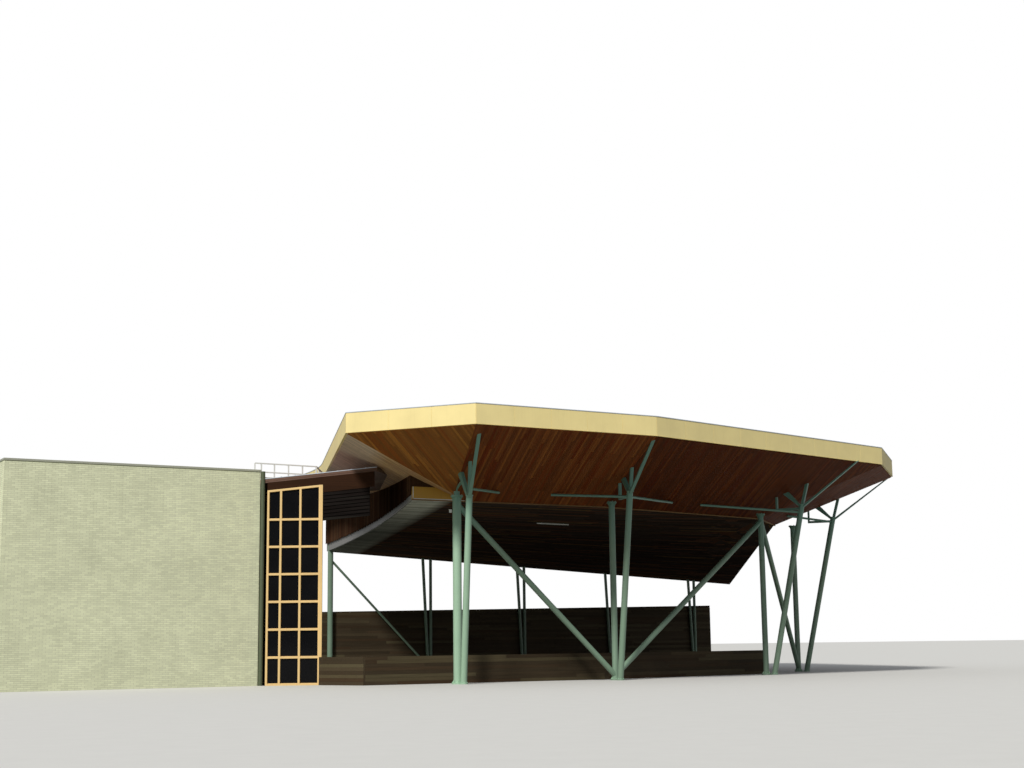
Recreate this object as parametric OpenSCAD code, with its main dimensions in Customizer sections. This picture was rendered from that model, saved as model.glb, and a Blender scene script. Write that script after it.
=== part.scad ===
/* [Scale] */
// Size of the model against the real building
model_ratio = 0.5; // [0.1:0.05:1]

/* [Roof outline] */
// Underside of the fascia above the ground
fascia_foot = 9900; // [9600:50:10400]
// Height of the fascia band
fascia_height = 800; // [600:50:1200]
// Thickness of the fascia panels
fascia_thick = 70; // [40:5:120]
// Front fascia to the line of the front posts
front_overhang = 5400; // [5200:20:5600]
// Left front corner of the roof to the first post, along the front
corner_reach = 2010; // [1900:10:2100]
// Length of the left corner facet
corner_length = 5630; // [5500:10:5750]
// Length of the front facet
front_length = 8410; // [8300:10:8600]
// Length of the long facet to the right
wing_length = 16500; // [15500:100:17500]
// Length of the right corner facet
far_corner_length = 6000; // [5500:50:6500]
// Turn of the left corner facet away from the front
corner_turn = 52.6; // [52:0.1:53.4]
// Turn of the long facet away from the front
wing_turn = 14; // [12:0.5:16]
// Heading of the right corner facet
far_corner_heading = 42; // [38:0.5:46]
// Heading of the two side facets
side_heading = 70; // [69:0.5:71]
// Rear fascia behind the line of the front posts
rear_line = 26000; // [25600:100:27000]
// Where the left side starts to curve, behind the front posts
curve_start = 15500; // [15000:100:16000]
// Radius of the curved part of the left side
curve_radius = 18000; // [16000:500:20000]
// Depth of the roof deck below the fascia's top
deck_drop = 200; // [100:10:300]
// Thickness of the roof deck
deck_thick = 120; // [80:10:160]
// Thickness of the metal cap on the fascia
cap_thick = 30; // [15:5:50]
// Width of the metal cap
cap_width = 220; // [140:10:300]

/* [Soffit] */
// Depth of the front soffit, fascia to low ceiling
front_depth = 7000; // [6800:20:7200]
// Depth of the long facet's soffit
wing_depth = 6360; // [6200:20:6500]
// Depth of the right corner facet's soffit
far_corner_depth = 6300; // [6100:20:6500]
// Depth of the right side's soffit
right_depth = 5300; // [5100:20:5500]
// Depth at which the left corner facet would reach the low ceiling
corner_depth = 6330; // [6250:10:6400]
// Depth at which the left side's soffit would reach the low ceiling
side_depth = 5330; // [5270:10:5400]
// Thickness of the soffit boarding with its battens
soffit_thick = 120; // [80:10:180]

/* [Low ceiling] */
// Underside of the low ceiling at its front edge
ceiling_front_height = 7650; // [7500:50:7750]
// Underside of the low ceiling at its left rear corner
ceiling_rear_height = 6770; // [6500:10:7000]
// Fall of the rear edge for each unit towards the right
ceiling_rear_fall = 0.056; // [0.03:0.002:0.06]
// Rear edge of the low ceiling behind the front posts
ceiling_rear_line = 22800; // [22500:50:23000]
// Left end of the ceiling's front edge to the first post
ceiling_left_reach = 1300; // [1100:20:1500]
// Left end of the ceiling's rear edge, right of the first post
ceiling_rear_left = 3950; // [3800:25:4100]
// Outward bow of the ceiling's left edge
edge_bow = 450; // [300:25:600]
// Thickness of the low ceiling
ceiling_thick = 100; // [60:10:160]
// Height of the painted edge band
edge_band = 520; // [460:20:600]
// Thickness of the painted edge band
band_thick = 100; // [60:10:140]
// Thickness of the boarding above the edge band
drum_thick = 60; // [40:5:100]
// Height of the pale batten along the ceiling's front edge
trim_height = 45; // [30:5:80]

/* [Posts] */
// Diameter of the first upright post
corner_post_d = 360; // [300:10:400]
// Diameter of the other upright front posts
post_d = 270; // [220:10:300]
// Diameter of the raking posts
raking_d = 266; // [200:2:300]
// Diameter of the diagonal braces
brace_d = 240; // [180:10:260]
// Soffit to the top of the cap plate on the upright posts
cap_drop = 460; // [400:10:520]
// Height of the collar on the first post's cap plate
collar_height = 170; // [100:10:240]
// Diameter of that collar
collar_d = 260; // [200:10:300]
// Thickness of the cap and base plates
plate_thick = 60; // [30:5:80]
// Overhang of the cap and base plates round the tube
plate_margin = 80; // [40:5:120]
// First front post to the second
first_bay = 7700; // [7500:50:7900]
// Second front post to the third
second_bay = 10700; // [10400:50:11200]
// Third front post to the fourth
third_bay = 7400; // [7200:50:7600]
// Diameter of the thick rear post
rear_post_d = 300; // [240:10:340]
// Diameter of the rear brace
rear_brace_d = 130; // [100:5:135]
// Diameter of the thin tubes of the rear pairs
rear_tube_d = 170; // [140:10:200]
// Distance between the rear posts
rear_bay = 6150; // [6000:50:6250]
// Lean of the second tube of a rear pair at its head
rear_lean = 400; // [200:20:800]
// Thickness of the head fins
fin_thick = 140; // [60:10:180]
// Top of the tie bars where they meet the soffit
tie_height = 8010; // [7950:10:8050]
// Diameter of the tie bars at the post heads
tie_d = 110; // [60:5:140]

/* [Low walls] */
// Height of the parapet behind the front posts
parapet_height = 1150; // [900:10:1300]
// Left end of the parapet to the first post
parapet_reach = 3400; // [3200:50:3600]
// Height of the timber wall at the rear, left end
rear_wall_height = 3450; // [3000:50:4000]
// Extra height of that wall at its right end
rear_wall_rise = 400; // [0:50:600]
// Thickness of the low walls
low_wall_thick = 140; // [100:10:200]

/* [Stage house] */
// Length of the brick front
house_length = 10600; // [9000:100:12000]
// Depth of the house
house_depth = 11500; // [10000:100:13000]
// Top of the brick walls
house_height = 8950; // [8900:50:9200]
// Thickness of the brick walls
house_wall = 300; // [240:10:400]
// Thickness of the coping on the walls
coping_thick = 80; // [40:5:120]
// Diameter of the corner downpipe
downpipe_d = 180; // [120:10:220]

/* [Glazed bay] */
// Length of the canted front
bay_front = 2285; // [2150:5:2300]
// Width of one pane of the front
pane_width = 823; // [760:1:860]
// Length of the side behind the corner post
bay_side = 6000; // [5500:100:6400]
// Height of one pane, centre to centre of the rails
pane_height = 1150; // [1100:10:1160]
// Width of the corner post
bay_post = 125; // [100:5:150]
// Width of the other bars
bay_bar = 85; // [60:5:110]
// Thickness of the glass
glass_thick = 12; // [8:2:24]
// Height of the lean-to roof's top at the house
bay_eaves = 8630; // [8580:10:8660]
// Rise of the lean-to roof along its front edge
bay_rise = 470; // [430:10:510]
// Thickness of the lean-to roof
bay_roof_thick = 190; // [140:10:240]
// Lean-to roof's underside to the top of the glazed frames
head_drop = 330; // [280:10:380]
// Depth of the beam right of the corner post
beam_deep = 660; // [600:10:720]
// Height of the top rail above the lean-to roof's eaves
railing_height = 720; // [640:10:800]
// Diameter of the railing's tubes
railing_d = 50; // [30:5:70]
// Top rail to the middle rail
middle_rail_drop = 370; // [320:10:420]
// Top rail to the short low rail
low_rail_drop = 600; // [520:10:640]
// Length of the railing's side
railing_side = 3600; // [3200:50:3800]
// Reach of the top rail over the house wall
railing_reach = 200; // [100:10:260]

/* [Hidden] */
$fn = 40;

// Plan directions, products and crossings of lines
function dir(a) = [cos(a), sin(a)];
function left_of(u) = [-u[1], u[0]];
function cross2(a, b) = a[0] * b[1] - a[1] * b[0];
function unit(v) = v / norm(v);
function mix(a, b, t) = a + (b - a) * t;
function meet(p, u, q, v) = p + u * (cross2(q - p, v) / cross2(u, v));
// Corner b of the run a, b, c moved inwards by d1 from one edge and d2 from the other
function inset_corner(a, b, c, d1, d2) =
    let (u = unit(b - a), v = unit(c - b))
    meet(b + left_of(u) * d1, u, b + left_of(v) * d2, v);
function at(p, z) = [p[0], p[1], z];

// Corners of the fascia's outer face, anticlockwise from the left corner
corner_a = [-corner_reach, -front_overhang];
corner_c = corner_a - corner_length * dir(-corner_turn);
corner_b = corner_a + [front_length, 0];
corner_g = corner_b + wing_length * dir(wing_turn);
corner_j = corner_g + far_corner_length * dir(far_corner_heading);
rear_right = meet(corner_j, dir(side_heading), [0, rear_line], [1, 0]);
curve_foot = meet(corner_c, dir(side_heading), [0, curve_start], [1, 0]);
curve_centre = curve_foot + curve_radius * left_of(dir(side_heading));
curve_low = side_heading - 90;
curve_high = asin((rear_line - curve_centre[1]) / curve_radius);
curve_steps = 12;
curve = [for (k = [0:curve_steps])
    curve_centre + curve_radius * dir(mix(curve_high, curve_low, k / curve_steps))];
outline = concat([corner_c, corner_a, corner_b, corner_g, corner_j, rear_right], curve);
sides = len(outline);
curve_first = 6;
function ring(d) = [for (i = [0:sides - 1])
    inset_corner(outline[(i + sides - 1) % sides], outline[i], outline[(i + 1) % sides], d, d)];
inner = ring(fascia_thick);
fascia_top = fascia_foot + fascia_height;

// Underside of each soffit facet as a fall from the fascia's foot
fold_drop = fascia_foot - ceiling_front_height;
front_pitch = fold_drop / front_depth;
corner_pitch = fold_drop / corner_depth;
side_pitch = fold_drop / side_depth;
wing_pitch = fold_drop / wing_depth;
far_corner_pitch = fold_drop / far_corner_depth;
right_pitch = fold_drop / right_depth;
down = side_heading + 180;
function depth(p, base, heading) = cross2(dir(heading), p - base);
function left_depth(p) = cross2(p - curve_foot, dir(side_heading)) > 0
    && p[1] > curve_foot[1] - (p[0] - curve_foot[0]) / tan(side_heading)
    ? norm(p - curve_centre) - curve_radius
    : depth(p, corner_c, down);
function left_height(p) = fascia_foot - side_pitch * left_depth(p);
function straight_left_height(p) = fascia_foot - side_pitch * depth(p, corner_c, down);
function corner_height(p) = fascia_foot - corner_pitch * depth(p, corner_c, -corner_turn);
function front_height(p) = fascia_foot - front_pitch * depth(p, corner_a, 0);
function wing_height(p) = fascia_foot - wing_pitch * depth(p, corner_b, wing_turn);
function far_corner_height(p) =
    fascia_foot - far_corner_pitch * depth(p, corner_g, far_corner_heading);
function right_height(p) = fascia_foot - right_pitch * depth(p, corner_j, side_heading);

function soffit_height(p) = max(straight_left_height(p), corner_height(p), front_height(p),
    wing_height(p), far_corner_height(p), right_height(p));

// Hips of the left corner meet at one point
hip_step = 1000;
hip_c = inset_corner(curve_foot, corner_c, corner_a, hip_step / side_pitch, hip_step / corner_pitch);
hip_a = inset_corner(corner_c, corner_a, corner_b, hip_step / corner_pitch, hip_step / front_pitch);
hip_point = meet(corner_c, hip_c - corner_c, corner_a, hip_a - corner_a);

// Fold between the soffits and the low ceiling
fold_line = front_depth - front_overhang;
fold_left = meet(corner_c + left_of(dir(down)) * side_depth, dir(down),
    [0, fold_line], [1, 0]);
fold_b = meet([0, fold_line], [1, 0], corner_b + left_of(dir(wing_turn)) * wing_depth, dir(wing_turn));
fold_g = inset_corner(corner_b, corner_g, corner_j, wing_depth, far_corner_depth);
fold_j = inset_corner(corner_g, corner_j, rear_right, far_corner_depth, right_depth);

// Left edge of the low ceiling, t from its front to its rear
edge_steps = 16;
edge_front = [-ceiling_left_reach, fold_line];
edge_rear = [ceiling_rear_left, ceiling_rear_line];
function edge(t) = mix(edge_front, edge_rear, t) + [edge_bow * sin(180 * t), 0];
function edge_chord(t) =
    let (k = min(floor(t * edge_steps), edge_steps - 1))
    mix(edge(k / edge_steps), edge((k + 1) / edge_steps), t * edge_steps - k);
curve_at = 0.625;
function ceiling_edge_height(t) = mix(ceiling_front_height, ceiling_rear_height, t);

// The rear soffit falls to the height that the left soffit has at the ceiling's rear corner
rear_drop = fascia_foot - left_height(edge_rear);
rear_pitch = rear_drop / (rear_line - ceiling_rear_line);
function rear_height(p) = fascia_foot - rear_pitch * (rear_line - p[1]);
ceiling_rear_right = meet(corner_j + left_of(dir(side_heading)) * rear_drop / right_pitch,
    dir(side_heading), edge_rear, [1, 0]);
function rear_edge_height(x) = ceiling_rear_height - ceiling_rear_fall * (x - ceiling_rear_left);

// Grid of the low ceiling's underside: columns from left to right, rows from front to rear
left_columns = 3;
middle_columns = 4;
right_columns = 2;
ceiling_corner = edge_front + [band_thick, 0];
front_stations = concat(
    [for (i = [0:left_columns - 1]) mix(ceiling_corner, fold_b, i / left_columns)],
    [for (i = [0:middle_columns - 1]) mix(fold_b, fold_g, i / middle_columns)],
    [for (i = [0:right_columns]) mix(fold_g, fold_j, i / right_columns)]);
columns = len(front_stations) - 1;
rear_start = edge_rear + [band_thick, 0];
function ceiling_point(i, t) =
    let (s = i / columns, far = mix(rear_start, ceiling_rear_right, s),
        p = mix(front_stations[i], far, t) + [edge_bow * sin(180 * t) * (1 - s), 0])
    at(p, mix(ceiling_front_height, rear_edge_height(far[0]), t));

// Posts: foot of each upright, foot and head of its raking partner
posts = [[0, 0], [first_bay, 0],
    [first_bay, 0] + second_bay * dir(wing_turn),
    [first_bay, 0] + second_bay * dir(wing_turn) + third_bay * dir(far_corner_heading - 4)];
post_widths = [corner_post_d, post_d, post_d, post_d];
rake_feet = [[80, -350], [-20, -410], [200, -365], [270, -310]];
rake_heads = [[-440, -1910], [-460, -2130], [977, -1949], [1300, -1730]];
rake_drops = [1240, 870, 870, 870];
// Far ends of the longest fins, from the head of the raking post
fin_reaches = [[-1000, -2690], [-740, -2870], [1290, -2570], [1740, -2320]];
middle_fin = 300;
gusset_near = 40;
gusset_reach = 800;
fin_overlap = 120;
function post_top(i) = soffit_height(posts[i]) - cap_drop;
function rake_foot(i) = posts[i] + rake_feet[i];
function rake_head(i) = posts[i] + rake_heads[i];
function rake_top(i) = soffit_height(rake_head(i)) - rake_drops[i];
function rake_axis(i, z) = mix(rake_foot(i), rake_head(i), z / rake_top(i));

// Fins stand in the plane of the head's heading; the first gusset has a plane of its own
function head_heading(i) = atan2(fin_reaches[i][1], fin_reaches[i][0]);
function gusset_heading(i) = i == 0 ? 87 - 180 : head_heading(i);
function fin_point(i, heading, reach) = rake_head(i) + reach * dir(heading);
function fin_top(i, heading, reach) =
    let (p = fin_point(i, heading, reach), side = left_of(dir(heading)) * fin_thick / 2)
    min(soffit_height(p + side), soffit_height(p - side));
function gusset_axis(i, z) =
    let (low = rake_top(i) - fin_overlap, high = fin_top(i, gusset_heading(i), -gusset_reach))
    fin_point(i, gusset_heading(i), mix(-gusset_near, -gusset_reach, (z - low) / (high - low)));

// Side arms of the second to fourth heads, with a stub up to the soffit
arm_reach = 1330;
arm_drop = 150;
arm_high = 110;
stub = 80;

// Directions of the tie bars; each starts on the raking post or its gusset and ends under the soffit
tie_rises = [320, -245, -375, -245];
tie_reaches = [[[2740, 2410]], [[-2370, 2630], [4810, 3650]], [[-5690, 1550]], [[-3100, 150]]];
function tie_start(i) =
    let (z = rake_top(i) + tie_rises[i])
    at(tie_rises[i] > 0 ? gusset_axis(i, z) : rake_axis(i, z), z);
function landing(p, v) =
    let (a = soffit_height(p + v * 0.6), b = soffit_height(p + v * 0.7))
    p + v * (0.6 + 0.1 * (a - tie_height) / (a - b));

// Curved bracket from the first gusset down to the collar of the first post
bracket_thick = 60;
bracket_rise = 620;
bracket_foot_width = 130;
bracket_head_width = 110;
bracket_steps = 10;

// Sub-parts are drawn at the building's own size
module real_size() {
    scale(model_ratio) children();
}

// Slab with a flat sloping underside given by its corners, anticlockwise from above
module slab(under, thick) {
    n = len(under);
    polyhedron(
        points = concat(under, [for (p = under) p + [0, 0, thick]]),
        faces = concat(
            [[for (i = [0:n - 1]) i]],
            [[for (i = [0:n - 1]) 2 * n - 1 - i]],
            [for (i = [0:n - 1]) [i, i + n, (i + 1) % n + n, (i + 1) % n]]));
}

// Slab whose underside is a grid of points, rows of equal length
module grid_slab(rows, thick) {
    m = len(rows);
    n = len(rows[0]);
    count = m * n;
    flat = [for (r = rows) for (p = r) p];
    cells = [for (j = [0:m - 2]) for (i = [0:n - 2]) j * n + i];
    rim = concat(
        [for (i = [0:n - 2]) [i, i + 1]],
        [for (j = [0:m - 2]) [j * n + n - 1, (j + 1) * n + n - 1]],
        [for (i = [0:n - 2]) [count - 1 - i, count - 2 - i]],
        [for (j = [0:m - 2]) [(m - 1 - j) * n, (m - 2 - j) * n]]);
    polyhedron(
        points = concat(flat, [for (p = flat) p + [0, 0, thick]]),
        faces = concat(
            [for (a = cells) [a, a + 1, a + n + 1]],
            [for (a = cells) [a, a + n + 1, a + n]],
            [for (a = cells) [count + a + n + 1, count + a + 1, count + a]],
            [for (a = cells) [count + a + n, count + a + n + 1, count + a]],
            [for (e = rim) [e[0], e[0] + count, e[1] + count]],
            [for (e = rim) [e[0], e[1] + count, e[1]]]));
}

// Wall along stations, each with its outer foot, outer top, inner top and inner foot
module ribbon(stations) {
    n = len(stations);
    flat = [for (s = stations) for (p = s) p];
    last = 4 * (n - 1);
    polyhedron(
        points = flat,
        faces = concat(
            [[3, 2, 1, 0], [last, last + 1, last + 2, last + 3]],
            [for (i = [0:n - 2]) for (k = [0:3])
                [4 * i + k, 4 * i + (k + 1) % 4, 4 * (i + 1) + (k + 1) % 4]],
            [for (i = [0:n - 2]) for (k = [0:3])
                [4 * i + k, 4 * (i + 1) + (k + 1) % 4, 4 * (i + 1) + k]]));
}

// Round tube between two points, its seam turned away from the plane in which it leans
module tube(a, b, d) {
    v = b - a;
    seam = 37;
    translate(a)
        rotate([0, acos(v[2] / norm(v)), atan2(v[1], v[0])])
            rotate(seam)
                cylinder(h = norm(v), d = d);
}

// Square bar along plan line a to b at height z, its underside there
module bar(a, b, wide, high, z) {
    translate(at(a, z))
        rotate(atan2(b[1] - a[1], b[0] - a[0]))
            translate([0, -wide / 2, 0])
                cube([norm(b - a), wide, high]);
}

module inside_fascia() {
    linear_extrude(fascia_top)
        polygon(inner);
}

module soffit_facet(plan, heights, thick = soffit_thick) {
    intersection() {
        slab([for (i = [0:len(plan) - 1]) at(plan[i], heights[i])], thick);
        inside_fascia();
    }
}

// Slab whose every corner can be seen from its first one
module fan_slab(under, thick) {
    n = len(under);
    polyhedron(
        points = concat(under, [for (p = under) p + [0, 0, thick]]),
        faces = concat(
            [for (i = [1:n - 2]) [0, i, i + 1]],
            [for (i = [1:n - 2]) [n, n + i + 1, n + i]],
            [for (i = [0:n - 1]) [i, i + n, (i + 1) % n + n, (i + 1) % n]]));
}

module fan_facet(plan, heights, thick) {
    intersection() {
        fan_slab([for (i = [0:len(plan) - 1]) at(plan[i], heights[i])], thick);
        inside_fascia();
    }
}

left_plan = concat([corner_c, hip_point, fold_left],
    [for (k = [0:edge_steps * curve_at]) edge(k / edge_steps)], [curve_foot]);
corner_plan = [corner_c, corner_a, hip_point];
front_plan = [corner_a, corner_b, fold_b, fold_left, hip_point];
wing_plan = [corner_b, corner_g, fold_g, fold_b];
far_corner_plan = [corner_g, corner_j, fold_j, fold_g];
right_plan = [corner_j, rear_right, ceiling_rear_right, fold_j];
rear_plan = [rear_right, curve[0], edge_rear, ceiling_rear_right];

module left_soffit_solid(thick) {
    fan_facet(left_plan, [for (p = left_plan) straight_left_height(p)], thick);
}
module corner_soffit_solid(thick) {
    soffit_facet(corner_plan, [for (p = corner_plan) corner_height(p)], thick);
}
module front_soffit_solid(thick) {
    soffit_facet(front_plan, [for (p = front_plan) front_height(p)], thick);
}
module wing_soffit_solid(thick) {
    soffit_facet(wing_plan, [for (p = wing_plan) wing_height(p)], thick);
}
module far_corner_soffit_solid(thick) {
    soffit_facet(far_corner_plan, [for (p = far_corner_plan) far_corner_height(p)], thick);
}
module right_soffit_solid(thick) {
    soffit_facet(right_plan, [for (p = right_plan) right_height(p)], thick);
}

// Height of the space above a soffit's underside that a neighbour is cut back from
cut_height = 1500;

module fascia_panel(i) {
    j = (i + 1) % sides;
    color([0.96, 0.87, 0.55])
        real_size()
            translate([0, 0, fascia_foot])
                linear_extrude(fascia_height)
                    polygon([outline[i], outline[j], inner[j], inner[i]]);
}

module fascia_left() {
    last = sides - 1;
    color([0.96, 0.87, 0.55])
        real_size()
            translate([0, 0, fascia_foot])
                linear_extrude(fascia_height)
                    polygon(concat(
                        [for (i = [curve_first:last]) outline[i]], [outline[0], inner[0]],
                        [for (i = [0:last - curve_first]) inner[last - i]]));
}

module fascia_cap() {
    lip = 25;
    color([0.78, 0.84, 0.9])
        real_size()
            translate([0, 0, fascia_top])
                linear_extrude(cap_thick)
                    difference() {
                        polygon(ring(-lip));
                        polygon(ring(cap_width - lip));
                    }
}

module roof_deck() {
    color([0.45, 0.46, 0.48])
        real_size()
            translate([0, 0, fascia_top - deck_drop - deck_thick])
                linear_extrude(deck_thick)
                    polygon(inner);
}

module soffit_left() {
    color([0.66, 0.56, 0.4]) real_size() left_soffit_solid(soffit_thick);
}

// Rules of the left soffit's curved part, from the drum's foot out to the fascia's inner face
function rule_end(t) =
    let (s = t * edge_steps, a = min(floor(s), edge_steps - 1))
    at(edge_chord(t), mix(left_height(edge(a / edge_steps)),
        left_height(edge((a + 1) / edge_steps)), s - a));
function rule_start(k, t) =
    let (far = rule_end(t))
    mix(at(curve[curve_steps - k], fascia_foot), far, fascia_thick / left_depth([far[0], far[1]]));

module soffit_left_rear() {
    stations = [for (k = [0:curve_steps]) mix(curve_at, 1, k / curve_steps)];
    color([0.66, 0.56, 0.4])
        real_size()
            grid_slab([
                [for (k = [0:curve_steps]) rule_end(stations[curve_steps - k])],
                [for (k = [0:curve_steps]) rule_start(curve_steps - k, stations[curve_steps - k])]],
                soffit_thick);
}

module soffit_corner() {
    color([0.8, 0.55, 0.28]) real_size() corner_soffit_solid(soffit_thick);
}

module soffit_front() {
    color([0.6, 0.34, 0.15]) real_size() front_soffit_solid(soffit_thick);
}

module soffit_wing() {
    color([0.55, 0.3, 0.14]) real_size() wing_soffit_solid(soffit_thick);
}

module soffit_far_corner() {
    color([0.5, 0.28, 0.13]) real_size() far_corner_soffit_solid(soffit_thick);
}

module soffit_right() {
    color([0.5, 0.3, 0.15]) real_size() right_soffit_solid(soffit_thick);
}

module soffit_rear() {
    color([0.5, 0.3, 0.15])
        real_size()
            soffit_facet(rear_plan, [for (p = rear_plan) rear_height(p)]);
}

module ceiling_solid(thick) {
    grid_slab([for (j = [0:edge_steps]) [for (i = [0:columns]) ceiling_point(i, j / edge_steps)]], thick);
}

module low_ceiling() {
    color([0.3, 0.22, 0.17]) real_size() ceiling_solid(ceiling_thick);
}

module ceiling_trim() {
    trim_width = 90;
    run = [edge_front, fold_b, fold_g, fold_j];
    color([0.85, 0.8, 0.65])
        real_size()
            translate([0, 0, ceiling_front_height - trim_height])
                linear_extrude(trim_height)
                    polygon([
                        run[0], run[0] - [0, trim_width],
                        inset_corner(run[0], run[1], run[2], -trim_width, -trim_width),
                        inset_corner(run[1], run[2], run[3], -trim_width, -trim_width),
                        run[3] - left_of(dir(far_corner_heading)) * trim_width,
                        run[3], run[2], run[1]]);
}

// Where the left soffit comes down to height z in the plane of the ceiling's front edge
band_top = ceiling_front_height + edge_band;
function left_reach(y, z) =
    let (high = left_height([edge_front[0], y]), low = left_height([fold_left[0], y]))
    mix(edge_front[0], fold_left[0], (high - z) / (high - low));

module edge_band_front() {
    color([0.85, 0.6, 0.2])
        real_size()
            translate([0, fold_line, 0])
                rotate([90, 0, 0])
                    linear_extrude(band_thick)
                        polygon([[edge_front[0], ceiling_front_height], [fold_left[0], ceiling_front_height],
                            [left_reach(fold_line, band_top), band_top], [edge_front[0], band_top]]);
}

module edge_band_solid() {
    ribbon([for (k = [0:edge_steps])
        let (t = 1 - k / edge_steps, p = edge(t), q = p + [band_thick, 0], z = ceiling_edge_height(t))
        [at(p, z), at(p, z + edge_band), at(q, z + edge_band), at(q, z)]]);
}

module edge_band_left() {
    color([0.75, 0.75, 0.74]) real_size() edge_band_solid();
}

// Foot of the boarding above the ceiling's edge, higher towards the rear
front_lap = 200;
rear_lap = 440;
function lap(t) = mix(front_lap, rear_lap, t);

// Boarding along the ceiling's left edge, and the triangle above the front edge band
module drum_left() {
    out = [drum_thick, 0];
    front = fold_line - drum_thick;
    back = fold_line + drum_thick / 3;
    left = edge_front[0] - drum_thick;
    color([0.45, 0.28, 0.15])
        real_size() {
            ribbon([for (k = [0:edge_steps])
                let (t = 1 - k / edge_steps, p = edge(t), z = ceiling_edge_height(t) + lap(t))
                [at(p - out, z), at(p - out, left_height(p - out)), at(p, left_height(p)), at(p, z)]]);
            translate([0, back, 0])
                rotate([90, 0, 0])
                    linear_extrude(back - front)
                        polygon([[left, band_top], [left_reach(front, band_top), band_top],
                            [left, left_height([left, front])]]);
        }
}

module drum_right() {
    n = 8;
    side = left_of(unit(ceiling_rear_right - fold_j)) * drum_thick;
    color([0.3, 0.22, 0.17])
        real_size()
            ribbon([for (k = [0:n])
                let (p = ceiling_point(columns, k / n), q = [p[0], p[1]], r = q + side,
                    foot = p[2] + ceiling_thick, head = right_height(q) + soffit_thick)
                [at(q, foot), at(q, head), at(r, head), at(r, foot)]]);
}

module drum_rear() {
    a = edge_rear;
    b = ceiling_rear_right;
    color([0.3, 0.22, 0.17])
        real_size()
            translate([0, ceiling_rear_line, 0])
                rotate([90, 0, 0])
                    linear_extrude(drum_thick)
                        polygon([[a[0], rear_edge_height(a[0]) + ceiling_thick],
                            [b[0], rear_edge_height(b[0]) + ceiling_thick],
                            [b[0], rear_height(b) + soffit_thick], [a[0], rear_height(a) + soffit_thick]]);
}

// Upright tube on a base plate, with a cap plate, and a collar on the first
module upright(i) {
    d = post_widths[i];
    top = post_top(i);
    color([0.45, 0.62, 0.52])
        real_size()
            translate(posts[i]) {
                cylinder(h = plate_thick, d = d + 2 * plate_margin);
                cylinder(h = top, d = d);
                translate([0, 0, top - plate_thick])
                    cylinder(h = plate_thick, d = d + 2 * plate_margin);
                if (i == 0)
                    translate([0, 0, top - plate_thick])
                        cylinder(h = plate_thick + collar_height, d = collar_d);
            }
}

// Fin from near the raking post's head up to the soffit
module fin(i, heading, near, far, foot_width, head_width, foot) {
    polygon([[near - foot_width / 2, foot], [near + foot_width / 2, foot],
        [far + head_width / 2, fin_top(i, heading, far + head_width / 2)],
        [far - head_width / 2, fin_top(i, heading, far - head_width / 2)]]);
}

// Upright plate through the head of a raking post, its outline given in the plane
module plate_through(p, heading, thick) {
    translate(at(p, 0))
        rotate(heading)
            rotate([90, 0, 0])
                translate([0, 0, -thick / 2])
                    linear_extrude(thick)
                        children();
}

module gusset(i) {
    fin(i, gusset_heading(i), -gusset_near, -gusset_reach, 130, 260, rake_top(i) - fin_overlap);
}

// Fins and arm of a tree head are cut from one plate
module head_plate(i) {
    low = rake_top(i) - fin_overlap;
    heading = head_heading(i);
    plate_through(rake_head(i), heading, fin_thick)
        union() {
            fin(i, heading, gusset_near, norm(fin_reaches[i]), 150, 150, low);
            fin(i, heading, 0, middle_fin, 130, 150, low);
            if (i > 0) {
                gusset(i);
                translate([-arm_reach, rake_top(i) - arm_drop - arm_high])
                    square([arm_reach, arm_high]);
                fin(i, heading, stub / 2 - arm_reach, stub / 2 - arm_reach, stub, stub,
                    rake_top(i) - arm_drop - arm_high);
            }
        }
}

// Bracket whose edges are quarter ellipses, level at the gusset and upright at the collar
module cap_bracket() {
    z = rake_top(0) + bracket_rise;
    start = gusset_axis(0, z);
    seat = post_top(0) + collar_height;
    across = posts[0] - start;
    long = norm(across);
    rise = z - seat;
    low = [for (k = [0:bracket_steps])
        let (t = 90 * k / bracket_steps)
        [(long - bracket_foot_width / 2) * sin(t), seat + (rise - bracket_head_width / 2) * cos(t)]];
    high = [for (k = [0:bracket_steps])
        let (t = 90 - 90 * k / bracket_steps)
        [(long + bracket_foot_width / 2) * sin(t), seat + (rise + bracket_head_width / 2) * cos(t)]];
    plate_through(start, atan2(across[1], across[0]), bracket_thick)
        polygon(concat(low, high));
}

module tree_head(i) {
    foot = rake_foot(i);
    head = rake_head(i);
    top = rake_top(i);
    sunk = 1000;
    color([0.5, 0.68, 0.57])
        real_size() {
            difference() {
                union() {
                    difference() {
                        tube(mix(at(foot, 0), at(head, top), -0.03), at(head, top), raking_d);
                        translate([foot[0] - sunk, foot[1] - sunk, plate_thick / 2 - sunk])
                            cube([2 * sunk, 2 * sunk, sunk]);
                    }
                    translate(foot)
                        cylinder(h = plate_thick, d = raking_d + plate_margin);
                }
                translate(at(posts[i], -1))
                    cylinder(h = plate_thick + 3, d = post_widths[i] + 2 * plate_margin);
            }
            head_plate(i);
            if (i == 0) {
                plate_through(head, gusset_heading(i), fin_thick) gusset(i);
                cap_bracket();
            }
            for (r = tie_reaches[i])
                tube(tie_start(i), at(landing(head, r), tie_height - tie_d / 2), tie_d);
        }
}

// Diagonal tube from the head of one upright post to the foot of the next
module brace(from, to) {
    below_cap = 350;
    foot_height = 200;
    clear_radius = 1500;
    color([0.45, 0.62, 0.52])
        real_size()
            difference() {
                tube(at(posts[from], post_top(from) - below_cap), at(posts[to], foot_height), brace_d);
                translate(posts[from]) cylinder(h = post_top(from), d = post_widths[from]);
                translate(posts[to]) cylinder(h = post_top(to), d = post_widths[to]);
                translate(at(posts[to], -below_cap))
                    cylinder(h = below_cap + plate_thick, r = clear_radius);
            }
}

rear_post_line = ceiling_rear_line - 400;
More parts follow.
